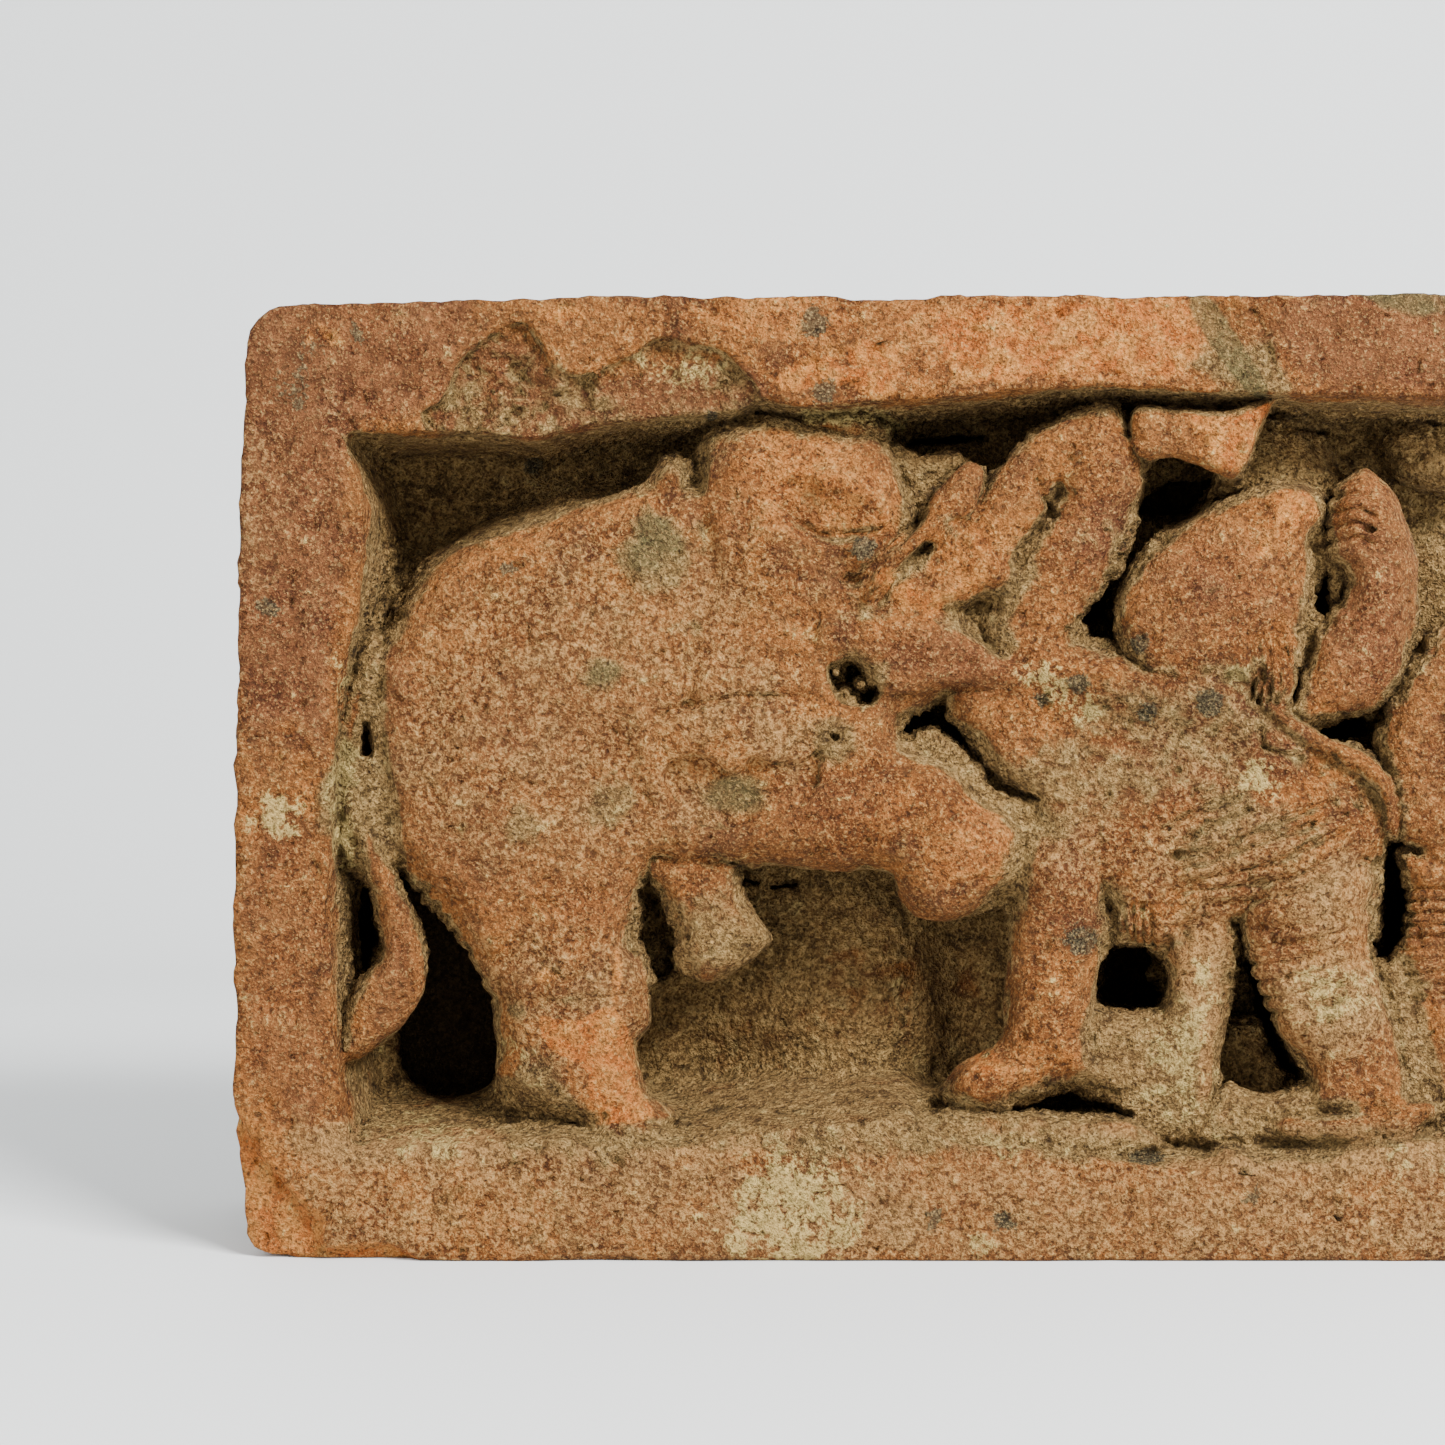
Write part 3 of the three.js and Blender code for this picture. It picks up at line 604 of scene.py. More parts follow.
STONE_BY_THE_STRUT = [
    (99, 23), (101.8, 24.2), (104.3, 22.2), (105.8, 19.2), (104.8, 16.7), (100.8, 16.2), (98.6, 18.2),
]
SOIL_BY_THE_HEEL = [
    (114.6, 30), (117.6, 30), (119.6, 25), (121, 18), (121, 12), (117, 13), (116.6, 20), (115.4, 25),
]
SOIL_BY_THE_RAISED_ARM = [
    (107.6, 74), (110.4, 72.6), (111.8, 68.6), (110.2, 65.6), (108.6, 61.6), (106.6, 55.4), (105.4, 58),
    (106.6, 64), (107.6, 69),
]
SOIL_IN_FRONT = [
    (96, 14), (99.4, 17.4), (104, 16.8), (108.6, 17.4), (109, 12.6), (103, 11.2), (96.6, 11.6),
]


def soldier(carving):
    carving.slab(TORSO, 2.6, 3.6, 4.2, undercut=1.2)
    each(
        carving.boss,
        ((87, 57.6), (12, 3.6), 0.9, 20, -10, 1.6), ((98, 56.4), (7, 4), 1, 20, 0, 1.6),
        ((104, 51), (7, 4.4), 1.4, 20, -40, 1.6), ((101, 42.6), (14, 6.8), 0.7, 22, 14, 2.2),
    )
    carving.slab(FRONT_LEG, 2.4, 3.4, 4.0, undercut=1.2, blend=0.6)
    each(
        carving.boss,
        ((82.6, 38), (4.8, 6.4), 0.9, 18, 0, 1.6), ((81.6, 26), (3.8, 8), 1.9, 16, 0, 1.4),
        ((76, 18), (4.6, 2.6), 1.2, 12, 12, 1), ((91.8, 33.6), (4.6, 2.8), 2.2, 16, -6, 0.8),
        ((94.6, 31.2), (1.2, 1.9), 2.6, 12, 0, 0.5),
    )
    carving.slab(STRUT, 4.4, 2.4, 2.8, undercut=0.6)
    carving.slab(REAR_LEG, 2.0, 3.6, 4.2, undercut=1.2, blend=0.6)
    each(
        carving.boss,
        ((108.2, 36), (6.4, 7.6), 0.5, 18, 0, 2), ((110.8, 24), (4.2, 7), 1.4, 16, 20, 1.4),
    )
    foot = [(105.6, 13.2, 1.5), (111.6, 13.2, 2.0), (116.6, 13.8, 2.2), (119.4, 15.0, 1.6)]
    carving.limb(foot, [1.6, 0.8, 0.7, 1.2], 14, blend=1.4)
    carving.slab(PUSHING_ARM, 1.0, 2.0, 2.4, blend=0.9)
    carving.slab(HEAD_OF_SOLDIER, 2.0, 3.6, 3.6)
    each(
        carving.boss,
        ((98.4, 66.4), (8.6, 7.8), 0.5, 20, 28, 1.6), ((104.6, 74.4), (3.8, 3), 1.6, 14, 40, 1),
    )
    carving.slab(HILT, 1.2, 1.6, 1.6, back=10, blend=0.4)
    carving.slab(FIST, 1.6, 3.4, 3.4, blend=0.5)
    carving.boss((86.6, 80.6), (3.6, 4.4), 0.9, 14, lean=-20, blend=1)
    forearm = [(87, 79, 3.8), (86.2, 75.6, 4.2), (84.2, 71.4, 4.7), (81.6, 67.4, 5), (79.8, 62.8, 4.7)]
    carving.limb(forearm, [1.6, 2.0, 2.3, 2.5, 2.6], 15, blend=0.8, flat=2.6)
    carving.slab(RAISED_ARM, 2.2, 3.4, 3.6, back=13, undercut=0.3, blend=0.5)
    each(
        carving.boss,
        ((113.2, 74.6), (3.4, 3.8), 1.4, 10, 0, 1), ((114.8, 64), (2.6, 6), 1.5, 10, 0, 1),
    )
    carving.slab(BRAIDS, 2.4, 1.6, 2.2, blend=0.6)
    sash = [
        (99.8, 60.0, 0.9), (102.0, 58.6, 1.1), (104.0, 55.6, 1.1), (107.0, 52.9, 1.1), (111.0, 50.7, 1.2),
        (114.0, 48.9, 1.2), (115.6, 46.4, 1.1), (115.8, 43.4, 0.9),
    ]
    carving.limb(sash, [1.9, 1.8, 1.8, 1.9, 1.9, 1.9, 2.1, 2.8], 9, blend=0.6)
    each(
        carving.slab,
        (SOIL_BY_THE_HILT, 9, 4, 5, None, 0.8, 2.2), (SOIL_BY_THE_SAWN_END, 13, 4, 5, None, 0.8, 2.2),
        (SOIL_BY_THE_RAISED_ARM, 6, 1.4, 2, None, 0.8, 1.4), (SOIL_BETWEEN, 4.6, 2.5, 2.5, None, 0.8, 1.8),
        (SOIL_UNDER_FOOT, 1.4, 2.4, 2.6, None, 0.8, 0.6),
    )
    carving.slab(SECOND_BODY, 2.6, 4.2, 4.2, undercut=1.0)
    carving.boss((126.5, 52), (10, 9.0), 1.4, 24, blend=2)
    carving.slab(SECOND_LEG, 3.2, 3.6, 3.8, undercut=1.0)
    each(
        carving.slab,
        (SOIL_BY_THE_STRUT, 4.6, 3, 5, None, 0.8, 1.2), (STONE_BY_THE_STRUT, 13, 1.6, 2, None, 0.8, 0.4),
        (SOIL_BY_THE_HEEL, 4.2, 1.6, 2), (SOIL_IN_FRONT, 3.4, 2.2, 3),
    )


def pockets(carving):
    each(
        carving.pocket,
        ([(17.4, 37.8, 1.2), (20.4, 30.2, 4), (21.8, 21.6, 5.4)], 9, POCKET_FLOOR),
        ([(13.2, 37, 1), (13.4, 33, 1.4), (13.2, 29.4, 0.9)], 5, POCKET_FLOOR),
        ([(13.5, 53.6, 0.55), (13.6, 51, 0.65)], 1.5, 16, 0.3), ([(62.2, 58.9, 0.6)], 0, 12, 0.2),
        ([(63.7, 56.6, 0.55)], 0, 12, 0.2), ([(60.9, 58, 0.4)], 0, 6, 0.2),
        ([(60.4, 52.5, 0.45)], 0, 4, 0.3),
        ([(68.4, 54.6, 0.7), (70.8, 54, 1.1), (73.2, 52, 0.9), (74.2, 50.8, 0.4)], 1, 21, 0.4),
        ([(88.6, 30.2, 1.6), (91, 30.2, 1.6)], 3, POCKET_FLOOR, 0.4),
        ([(88, 27, 1.7), (91.4, 26.8, 1.8)], 3, POCKET_FLOOR, 0.4),
        ([(89.2, 28.6, 2.4)], 3, POCKET_FLOOR, 0.4),
        ([(92, 75.6, 1.6), (94.6, 76.4, 2.3), (97.6, 78, 1)], 3, POCKET_FLOOR, 0.5),
        ([(87.8, 68.4, 0.5), (86.8, 65.8, 1.1), (85.2, 64.2, 1)], 4, POCKET_FLOOR, 0.4),
        ([(109.4, 68.4, 0.8), (109, 65.4, 1.2)], 3, 24, 0.5),
        ([(109.2, 52.6, 1.2), (112.2, 53.4, 1.6)], 5, POCKET_FLOOR),
        ([(67.6, 81.8, 0.8), (71.4, 82.2, 1), (75, 82.4, 0.8)], 6, POCKET_FLOOR),
        ([(106.4, 83, 0.5), (109, 82.8, 0.6)], 8, POCKET_FLOOR),
        ([(115.6, 42.4, 0.5), (116.2, 38, 1.5), (116, 33, 1.4), (115.6, 30.4, 0.6)], 2, POCKET_FLOOR, 0.5),
        ([(78.4, 15.2, 0.5), (82.6, 15.9, 1), (87, 15.6, 0.9), (89.6, 14.6, 0.4)], 4, 20, 0.5),
        ([(101, 32.6, 0.4), (101.4, 28.6, 0.9), (102, 25.2, 1.5), (102.4, 21, 2.2), (103, 18.6, 1.6)],
         4, 13, 0.5),
        ([(101.4, 30, 0.8), (103.4, 24, 1), (105, 20.4, 1.2), (106.6, 18.4, 0.8)], 4, POCKET_FLOOR, 0.5),
        ([(41.6, 36, 0.8), (42.2, 32.6, 1.5), (42.8, 29.6, 1.5)], 5, 23, 0.6),
        ([(51, 38.4, 0.5), (52.6, 37.8, 0.5)], 12, 24, 0.5),
        ([(54.4, 37.4, 0.6), (56.4, 37.8, 0.5)], 12, 24, 0.5),
        ([(74.8, 50, 0.5), (77.2, 47.4, 0.6), (80.7, 46.2, 0.4)], 3, 8, 0.9),
    )


def surface_marks(carving):
    # Elephant: brow, eye, mouth, and the soft folds of the body
    each(
        carving.stroke,
        ([(55.6, 79), (58.4, 78.9), (61.6, 78), (64, 76.2), (65.4, 73.6)], 0.6, 1.1),
        ([(55.1, 75.7), (57, 73.8), (59.6, 72.7), (63.5, 73), (66.4, 73.8)], -0.8, 0.6),
        ([(56.1, 72), (59.2, 71.2), (62.8, 71.8)], 0.5, 0.6),
    )
    carving.dimple((61.9, 68.2), 1.1, -1.2, squash=0.6)
    each(
        carving.stroke,
        ([(64.8, 66), (67.2, 69.2), (70, 71.9), (72.4, 74.2)], -0.7, 0.5),
        ([(62.2, 67.4), (64.6, 70.6), (67.4, 73.2), (69, 75.6)], -0.7, 0.55),
        ([(58.5, 66.4), (58.3, 64), (58.2, 61.2)], -0.3, 0.35),
    )
    pit_by_the_hand = [
        (59.4, 59.4), (60.3, 60.1), (62.3, 60.3), (63.6, 59.0), (64.8, 57.2), (64.4, 55.9), (63.0, 55.6),
        (61.3, 56.0), (60.0, 57.4),
    ]
    carving.step(pit_by_the_hand, -1.5, 0.4)
    clods = [
        (60.4, 58.8, 0.5, 1), (61.2, 57, 0.6, 1), (62.9, 57.8, 0.55, 1), (61.7, 59.6, 0.4, 1),
        (64, 57.9, 0.4, 1), (58.8, 53.6, 0.7, 0.5), (60.2, 54.2, 0.6, 0.5), (61.8, 53.6, 0.6, 0.5),
        (62, 51.8, 0.6, 0.5), (60.4, 50.9, 0.7, 0.5), (58.9, 51.8, 0.6, 0.5),
    ]
    for a, u, radius, rise in clods:
        carving.dimple((a, u), radius, rise)
    each(
        carving.stroke,
        ([(80.6, 78.4), (81.2, 76.4), (82.3, 74.6)], -0.7, 0.45),
        ([(53.6, 83), (55.2, 80), (55.4, 77.2)], -0.35, 0.7),
        ([(46.6, 77.6), (47.4, 72), (46, 66)], -0.35, 1),
        ([(40.9, 70), (40.2, 62), (40.6, 54), (42.2, 48)], 0.6, 1.2),
        ([(47.4, 74), (48.2, 68), (46.4, 62), (45.6, 56)], -0.6, 1),
        ([(42.8, 61.7), (48, 62.3), (53, 62.2), (58.1, 60.9)], 0.5, 1.1),
        ([(42.6, 54.6), (46.1, 55.8), (51.7, 56.4), (57.6, 56.6)], -0.8, 0.7),
    )
    carving.dimple((54.9, 62.6), 0.8, -0.6, squash=0.4)
    scallops = [
        (43.3, 48.8), (45.9, 50.8), (47.9, 50.2), (50.2, 48.8), (52.0, 50.5), (54.1, 50.0), (57.1, 50.0),
        (58.7, 51.0), (58.0, 46.5), (52, 43.6), (46, 44),
    ]
    carving.step(scallops, -0.9, 0.5)
    repeated(carving, 6, (1.3, -1.9), [(16.2, 41.2), (21.2, 39.6), (24.8, 40)], -0.34, 0.5)
    each(
        carving.stroke,
        ([(25, 27.5), (30, 27.2), (36, 27.4), (41.5, 27.9)], 0.35, 0.6),
        ([(25, 26.4), (30, 26.1), (36, 26.3), (41.5, 26.8)], -0.25, 0.5),
    )
    for groove in range(5):
        u = 60.4 - 0.85 * groove
        ends = (63.4 + 0.2 * groove, u), (75.4, u - 0.6 + 0.25 * groove)
        carving.stroke([ends[0], (69.0, u - 0.2), ends[1]], -0.34, 0.3)
    repeated(carving, 5, (1.4, 2), [(73, 74.2), (75.2, 72.4), (77.2, 69.6)], -0.2, 0.4)
    carving.stroke([(68.6, 36.6), (72.0, 37.4), (75.6, 38.6)], -0.22, 0.4)
    # Soldier: braids, sash groove, folds of the skirt, pleats, fingers
    strand = [(101.6, 62.8), (102.1, 60.4), (102.2, 58), (101.8, 56)]
    repeated(carving, 6, (0.85, 0), strand, -0.4, 0.28)
    groove_under_the_sash = [
        (102.8, 53.4), (103.4, 51.4), (106.2, 50.5), (108.6, 48.8), (111.9, 47), (113.3, 44),
    ]
    carving.stroke(groove_under_the_sash, -0.6, 0.6)
    folds = [
        [(93.2, 43.4), (97.0, 45.2), (100.6, 46.4)],
        [(95.6, 42.3), (98.0, 43.6), (101.6, 45.2)],
        [(94.0, 40.6), (98.4, 41.2), (102.5, 43.2), (110.4, 46.2)],
        [(94.7, 39.4), (101.5, 41.4), (106.0, 43.0), (111.4, 44.8)],
        [(95.6, 38.0), (103.3, 39.8), (107.0, 41.4), (112.0, 43.6)],
        [(93.8, 37.0), (104.4, 38.2), (108.6, 39.8), (113.0, 42.0)],
        [(97.0, 35.6), (103.0, 36.4), (108.6, 37.8), (113.3, 40.4)],
    ]
    for fold in folds:
        carving.stroke(fold, -0.66, 0.46)
    pleat, short_pleat = [(88.4, 35.8), (88.5, 33.8), (88.7, 31.9)], [(92.4, 35.4), (95.4, 35.6)]
    repeated(carving, 5, (0.85, 0), pleat, -0.6, 0.32)
    repeated(carving, 3, (0, -0.9), short_pleat, -0.3, 0.35)
    repeated(carving, 4, (0, -1.4), [(109.8, 76.1), (112.4, 76.8), (114.2, 76)], -0.62, 0.4)
    repeated(carving, 3, (0, -1.9), [(87.4, 83), (89.4, 82.8), (91.2, 82.2)], -0.35, 0.35)
    rib_of_the_shin = [(102.4, 33.2), (106, 33.6), (110, 34.6), (113.6, 35.4)]
    repeated(carving, 6, (0, -1.7), rib_of_the_shin, -0.5, 0.45)
    # Second soldier: hem, ribs of the leg, and faint lines over the body
    carving.stroke([(117.2, 42.0), (121.0, 39.6), (128.0, 38.6)], -0.6, 0.6)
    repeated(carving, 10, (0, -1.2), [(117.4, 37.2), (120, 37.4), (124, 37.3), (130, 37.2)], -0.7, 0.4)
    repeated(carving, 5, (0, -1.9), [(116, 54.6), (118.6, 54), (121.6, 54.2)], -0.18, 0.4)


# From the field to a mesh

def surface_net(field):
    """The surface where the field is zero, as points in lattice steps and four-sided faces."""
    solid = field < 0
    corners = list(np.ndindex(2, 2, 2))
    shape = tuple(n - 1 for n in field.shape)
    count = np.zeros(shape, dtype=np.int8)
    for i, j, k in corners:
        count += solid[i:i + shape[0], j:j + shape[1], k:k + shape[2]]
    cells = np.argwhere((count > 0) & (count < 8))
    number = np.full(shape, -1, dtype=np.int32)
    number[cells[:, 0], cells[:, 1], cells[:, 2]] = np.arange(len(cells))
    at = {c: field[tuple((cells + c).T)].astype(float) for c in corners}
    total = np.zeros((len(cells), 3))
    crossings = np.zeros(len(cells))
    for c in corners:
        for axis in range(3):
            if c[axis]:
                continue
            other = tuple(1 if n == axis else c[n] for n in range(3))
            near, far = at[c], at[other]
            crosses = (near < 0) != (far < 0)
            t = np.where(crosses, near / np.where(crosses, near - far, 1), 0)
            offset = np.array(c, dtype=float)[None, :].repeat(len(cells), axis=0)
            offset[:, axis] += t
            total += offset * crosses[:, None]
            crossings += crosses
    points = cells + total / crossings[:, None]
    faces = []
    for axis in range(3):
        low = [slice(None)] * 3
        high = [slice(None)] * 3
        low[axis], high[axis] = slice(None, -1), slice(1, None)
        inner, outer = solid[tuple(low)], solid[tuple(high)]
        p, q = [n for n in range(3) if n != axis]
        for leaving in (True, False):
            edges = np.argwhere((inner & ~outer) if leaving else (~inner & outer))
            keep = (edges[:, p] > 0) & (edges[:, q] > 0)
            keep &= (edges[:, p] < field.shape[p] - 1) & (edges[:, q] < field.shape[q] - 1)
            edges = edges[keep]
            ring = []
            for dp, dq in ((0, 0), (-1, 0), (-1, -1), (0, -1)):
                cell = edges.copy()
                cell[:, p] += dp
                cell[:, q] += dq
                ring.append(number[cell[:, 0], cell[:, 1], cell[:, 2]])
            quad = np.stack(ring, axis=1)
            if leaving != (axis == 1):
                quad = quad[:, ::-1]
            faces.append(quad)
    return points, np.vstack(faces)


def grid_to_squares(points):
    """Turns lattice steps into across, up and depth in squares."""
    return np.stack(
        [np.interp(column, np.arange(len(axis)), axis) for column, axis in zip(points.T, AXES)], axis=1
    )


def squares_to_metres(p):
    spread = 1 + p[:, 2] / EYE_AWAY
    x = -LENGTH / 2 + SQUARE * (EYE_ACROSS + (p[:, 0] - EYE_ACROSS) * spread)
    y = -THICKNESS / 2 + SQUARE * p[:, 2]
    z = SQUARE * (EYE_UP + (p[:, 1] - EYE_UP) * spread)
    return np.stack([x, y, z], axis=1)


def metres_to_squares(m):
    deep = (m[:, 1] + THICKNESS / 2) / SQUARE
    spread = 1 + deep / EYE_AWAY
    across = EYE_ACROSS + ((m[:, 0] + LENGTH / 2) / SQUARE - EYE_ACROSS) / spread
    up = EYE_UP + (m[:, 2] / SQUARE - EYE_UP) / spread
    return np.stack([across, up, deep], axis=1)


def sample(field, p):
    """The field at places in squares, read between the points of the lattice."""
    steps = []
    for n, axis in enumerate(AXES):
        steps.append(np.clip(np.interp(p[:, n], axis, np.arange(len(axis))), 0, len(axis) - 1.001))
    cell = [s.astype(int) for s in steps]
    part = [s - c for s, c in zip(steps, cell)]
    total = 0
    for corner in np.ndindex(2, 2, 2):
        weight = 1
        for n in range(3):
            weight = weight * (part[n] if corner[n] else 1 - part[n])
        total = total + weight * field[cell[0] + corner[0], cell[1] + corner[1], cell[2] + corner[2]]
    return total


def face_sample(plane, p):
    """A plane of the lattice's face at places in squares."""
    a = np.clip((p[:, 0] - ACROSS[0]) / STEP, 0, len(ACROSS) - 1.001)
    u = np.clip((p[:, 1] - UP[0]) / STEP, 0, len(UP) - 1.001)
    i, j = a.astype(int), u.astype(int)
    s, t = a - i, u - j
    low = plane[i, j] * (1 - s) + plane[i + 1, j] * s
    high = plane[i, j + 1] * (1 - s) + plane[i + 1, j + 1] * s
    return low * (1 - t) + high * t


def vertex_normals(points, faces):
    a, b, c, d = (points[faces[:, n]] for n in range(4))
    crossed = np.cross(c - a, d - b)
    normals = np.zeros_like(points)
    for n in range(4):
        for axis in range(3):
            normals[:, axis] += np.bincount(faces[:, n], crossed[:, axis], len(points))
    return normals / np.maximum(np.linalg.norm(normals, axis=1, keepdims=True), 1e-12)


def mesh_from(name, points, faces):
    mesh = bpy.data.meshes.new(name)
    mesh.vertices.add(len(points))
    mesh.vertices.foreach_set("co", points.astype(np.float32).ravel())
    mesh.loops.add(faces.size)
    mesh.loops.foreach_set("vertex_index", faces.astype(np.int32).ravel())
    mesh.polygons.add(len(faces))
    mesh.polygons.foreach_set("loop_start", np.arange(0, faces.size, faces.shape[1], dtype=np.int32))
    mesh.update(calc_edges=True)
    mesh.validate()
    return mesh


TRIANGLES_PER_FACE = 2


def lighten(mesh, name, triangles):
    """The same mesh with fewer triangles, fewest where it is flat."""
    holder = bpy.data.objects.new(name, mesh)
    bpy.context.scene.collection.objects.link(holder)
    modifier = holder.modifiers.new("fewer", "DECIMATE")
    modifier.ratio = min(1.0, triangles / TRIANGLES_PER_FACE / len(mesh.polygons))
    modifier.use_collapse_triangulate = True
    graph = bpy.context.evaluated_depsgraph_get()
    light = bpy.data.meshes.new_from_object(holder.evaluated_get(graph))
    bpy.data.objects.remove(holder)
    bpy.data.meshes.remove(mesh)
    return light


def weather(points, normals, p, hollow):
    """Moves the points in and out along their normals, as grains, losses and clods of soil do."""
    broad = layered_noise(p / 7.0, 41, 3) - 0.5
    middle = layered_noise(p / 1.9, 42, 3) - 0.5
    fine = noise(p / 0.7, 43) - 0.5
    soil = smooth_step(hollow, 0.3, 0.75) * (p[:, 2] < FINE_DEPTH) * smooth_step(p[:, 2], 2.0, 7.0)
    clods = 1 - np.abs(2 * layered_noise(p / 1.5, 46, 2) - 1) * 2.2
    crumbs = 1 - np.abs(2 * noise(p / 0.72, 47) - 1) * 2
    worn = 1 - np.abs(2 * layered_noise(p / 5.2, 45, 2) - 1)
    move = 0.35 * broad + 0.55 * (worn - 0.7) + 0.36 * middle + 0.12 * fine
    move += soil * (0.6 * clods + 0.3 * crumbs - 0.1)
    pits = layered_noise(p / 1.2, 44, 2)
    move -= 0.4 * smooth_step(pits, 0.76, 0.84)
    behind = smooth_step(p[:, 2], FINE_DEPTH - 1, FINE_DEPTH + 2)
    move = move * (1 - behind) + 0.5 * broad * behind
    sawn = p[:, 0] > EYE_ACROSS + (SAWN_END - EYE_ACROSS) / (1 + p[:, 2] / EYE_AWAY) - 0.4
    move = np.where(sawn, 0.05 * middle, move)
    foot = smooth_step(points[:, 2] / SQUARE, 0.1, 1.2)
    return points + normals * (move * (0.15 + 0.85 * foot) * SQUARE)[:, None]


# Paint: where the stone is fresh, limed, soiled or spotted with iron, over the face of the lattice

def painted(areas=(), lines=(), spots=()):
    """The strongest of all these at each place. An area has an outline, amount and edge, a line its
    points, width and amount, and a spot its across, up, radius, amount, squash and lean."""
    plane = np.zeros(GRID_A.shape)
    for outline, amount, *edge in areas:
        edge = edge[0] if edge else 0.8
        depth = inside(smooth_line(outline, closed=True), GRID_A, GRID_U)
        plane = np.maximum(plane, amount * smooth_step(depth, -edge, edge))
    for points, width, amount in lines:
        distance, _ = nearest(smooth_line(points), GRID_A, GRID_U)
        plane = np.maximum(plane, amount * np.exp(-0.7 * (distance / width) ** 2))
    for a, u, radius, amount, *shape in spots:
        squash, lean = (shape + [1, 0][len(shape):])
        along, over = turned(GRID_A, GRID_U, (a, u), lean)
        reach = (along**2 + (over / squash) ** 2) / radius**2
        plane = np.maximum(plane, amount * np.exp(-0.7 * reach**1.5))
    return plane


def painted_fresh():
    return painted(
        areas=[
            (BROKEN_CORNER, 1),
            ([(95, 85), (98, 85), (103.8, 86.2), (103.4, 83.4), (101.6, 81), (100.4, 78.8), (98.6, 79.6),
             (97.2, 83)], 1),
            ([(56, 90), (61, 90.5), (62.5, 88), (58.5, 87), (54, 87.4)], 0.8),
            ([(61.6, 91.8), (66.8, 91.6), (66.6, 87.2), (62.6, 86.8)], 0.9),
            ([(72, 95.6), (95.6, 95.8), (96, 90.4), (94.4, 88.4), (84, 88.6), (74, 87.4), (70.6, 91)],
             0.75),
            ([(31, 24.6), (34.4, 24), (37.2, 25.4), (39.2, 24), (40.2, 21.4), (40.6, 17.4), (42.2, 14.8),
             (39, 13.8), (35.8, 14.4), (35.4, 18.8), (33, 20.4), (31.2, 22)], 1.1, 0.6),
            ([(83, 95.8), (95.6, 95.8), (95.6, 90.4), (86, 89.6)], 0.9),
        ],
        lines=[
            ([(38.4, 31), (38.6, 26)], 0.7, 0.6), ([(65.2, 68.6), (68.4, 66.2), (72, 65.6)], 1.2, 0.8),
            ([(66.6, 67.6), (71, 66.6), (75.4, 68.6)], 0.8, 0.6),
        ],
        spots=[
            (31.4, 28.6, 1.6, 0.6, 0.5), (106.2, 75.6, 2.2, 0.9), (103.2, 71.5, 0.9, 0.8),
            (75.4, 20, 1.8, 0.8), (8.2, 92.6, 3, 0.5, 0.5), (33, 94.4, 3.4, 0.6, 0.4),
        ],
    )


def painted_warm():
    return painted(
        areas=[
            ([(6, 95), (36, 96), (60, 96.4), (80, 96), (96, 96), (95, 89), (80, 88), (60, 88), (53, 92),
             (30, 94.8), (12, 92)], 0.65, 2),
            ([(70, 96.4), (96, 96.4), (96, 89), (84, 88), (70, 90)], 0.95, 2),
            ([(106, 96.4), (128, 97), (128, 89), (108, 89.6)], 0.4, 2),
            ([(8, 11), (16, 10), (45, 9), (45, 2), (18, 1.4), (12, 4)], 0.5, 2),
            ([(0.5, 14), (7, 16), (9.6, 40), (9, 47), (4, 52), (0.5, 46)], 0.35, 2),
        ],
        lines=[
            ([(20, 68), (30, 73), (42, 76)], 1.6, 0.5),
        ],
        spots=[
            (58, 77, 8, 0.9, 0.6), (63, 74, 5, 0.7, 0.6), (76, 42, 5, 0.9), (105, 73, 4, 0.6, 0.6, 40),
            (24, 64, 6, 0.4, 0.6, 50), (14, 34, 5, 0.5, 0.4, -70), (76, 70, 6, 0.6, 0.6, 45),
            (86, 82, 4, 0.4), (66, 45, 6, 0.5, 0.5), (103, 70, 6, 0.3), (37, 18, 6, 0.5),
            (35, 33, 8, 0.3, 0.5), (76, 19, 4, 0.6, 0.5),
        ],
    )


def painted_dark():
    return painted(
        areas=[
            ([(0.5, 56), (1, 96), (22, 97), (24, 93), (19, 85), (12.4, 83), (11.6, 70), (10, 60),
             (9.6, 50), (6, 54)], 1, 2),
            ([(106, 97), (128, 97.4), (128, 88), (108, 88)], 0.9, 2),
            ([(20, 84), (24, 92), (30, 92), (34, 88), (50, 90), (52, 85), (30, 82)], 1.1, 1.2),
            ([(1, 20), (1, 42), (8, 44), (10, 30), (9.4, 14), (4, 16)], 0.6, 2),
        ],
        spots=[
            (97, 52, 10, 0.8, 0.7), (31, 56, 14, 0.55, 0.8, 20), (24, 42, 9, 0.6, 0.7, -50),
            (36, 36, 6, 0.5), (50, 76, 4, 0.5), (48, 60, 8, 0.4), (98, 67, 8, 0.6, 0.9, 30),
            (72, 60, 8, 0.8, 0.45, -10), (73, 42, 4, 0.4, 1.2), (60, 46, 8, 0.6, 0.5), (114, 66, 6, 0.8, 2),
            (86, 72, 5, 0.6, 1.6), (82, 38, 5, 0.6, 1.6), (126, 50, 8, 0.7, 1.3), (58, 74, 5, 0.5, 0.6),
            (75, 6, 14, 0.4, 0.3), (16, 54, 4, 0.6, 3), (16, 28, 3, 0.7, 3),
        ],
    )


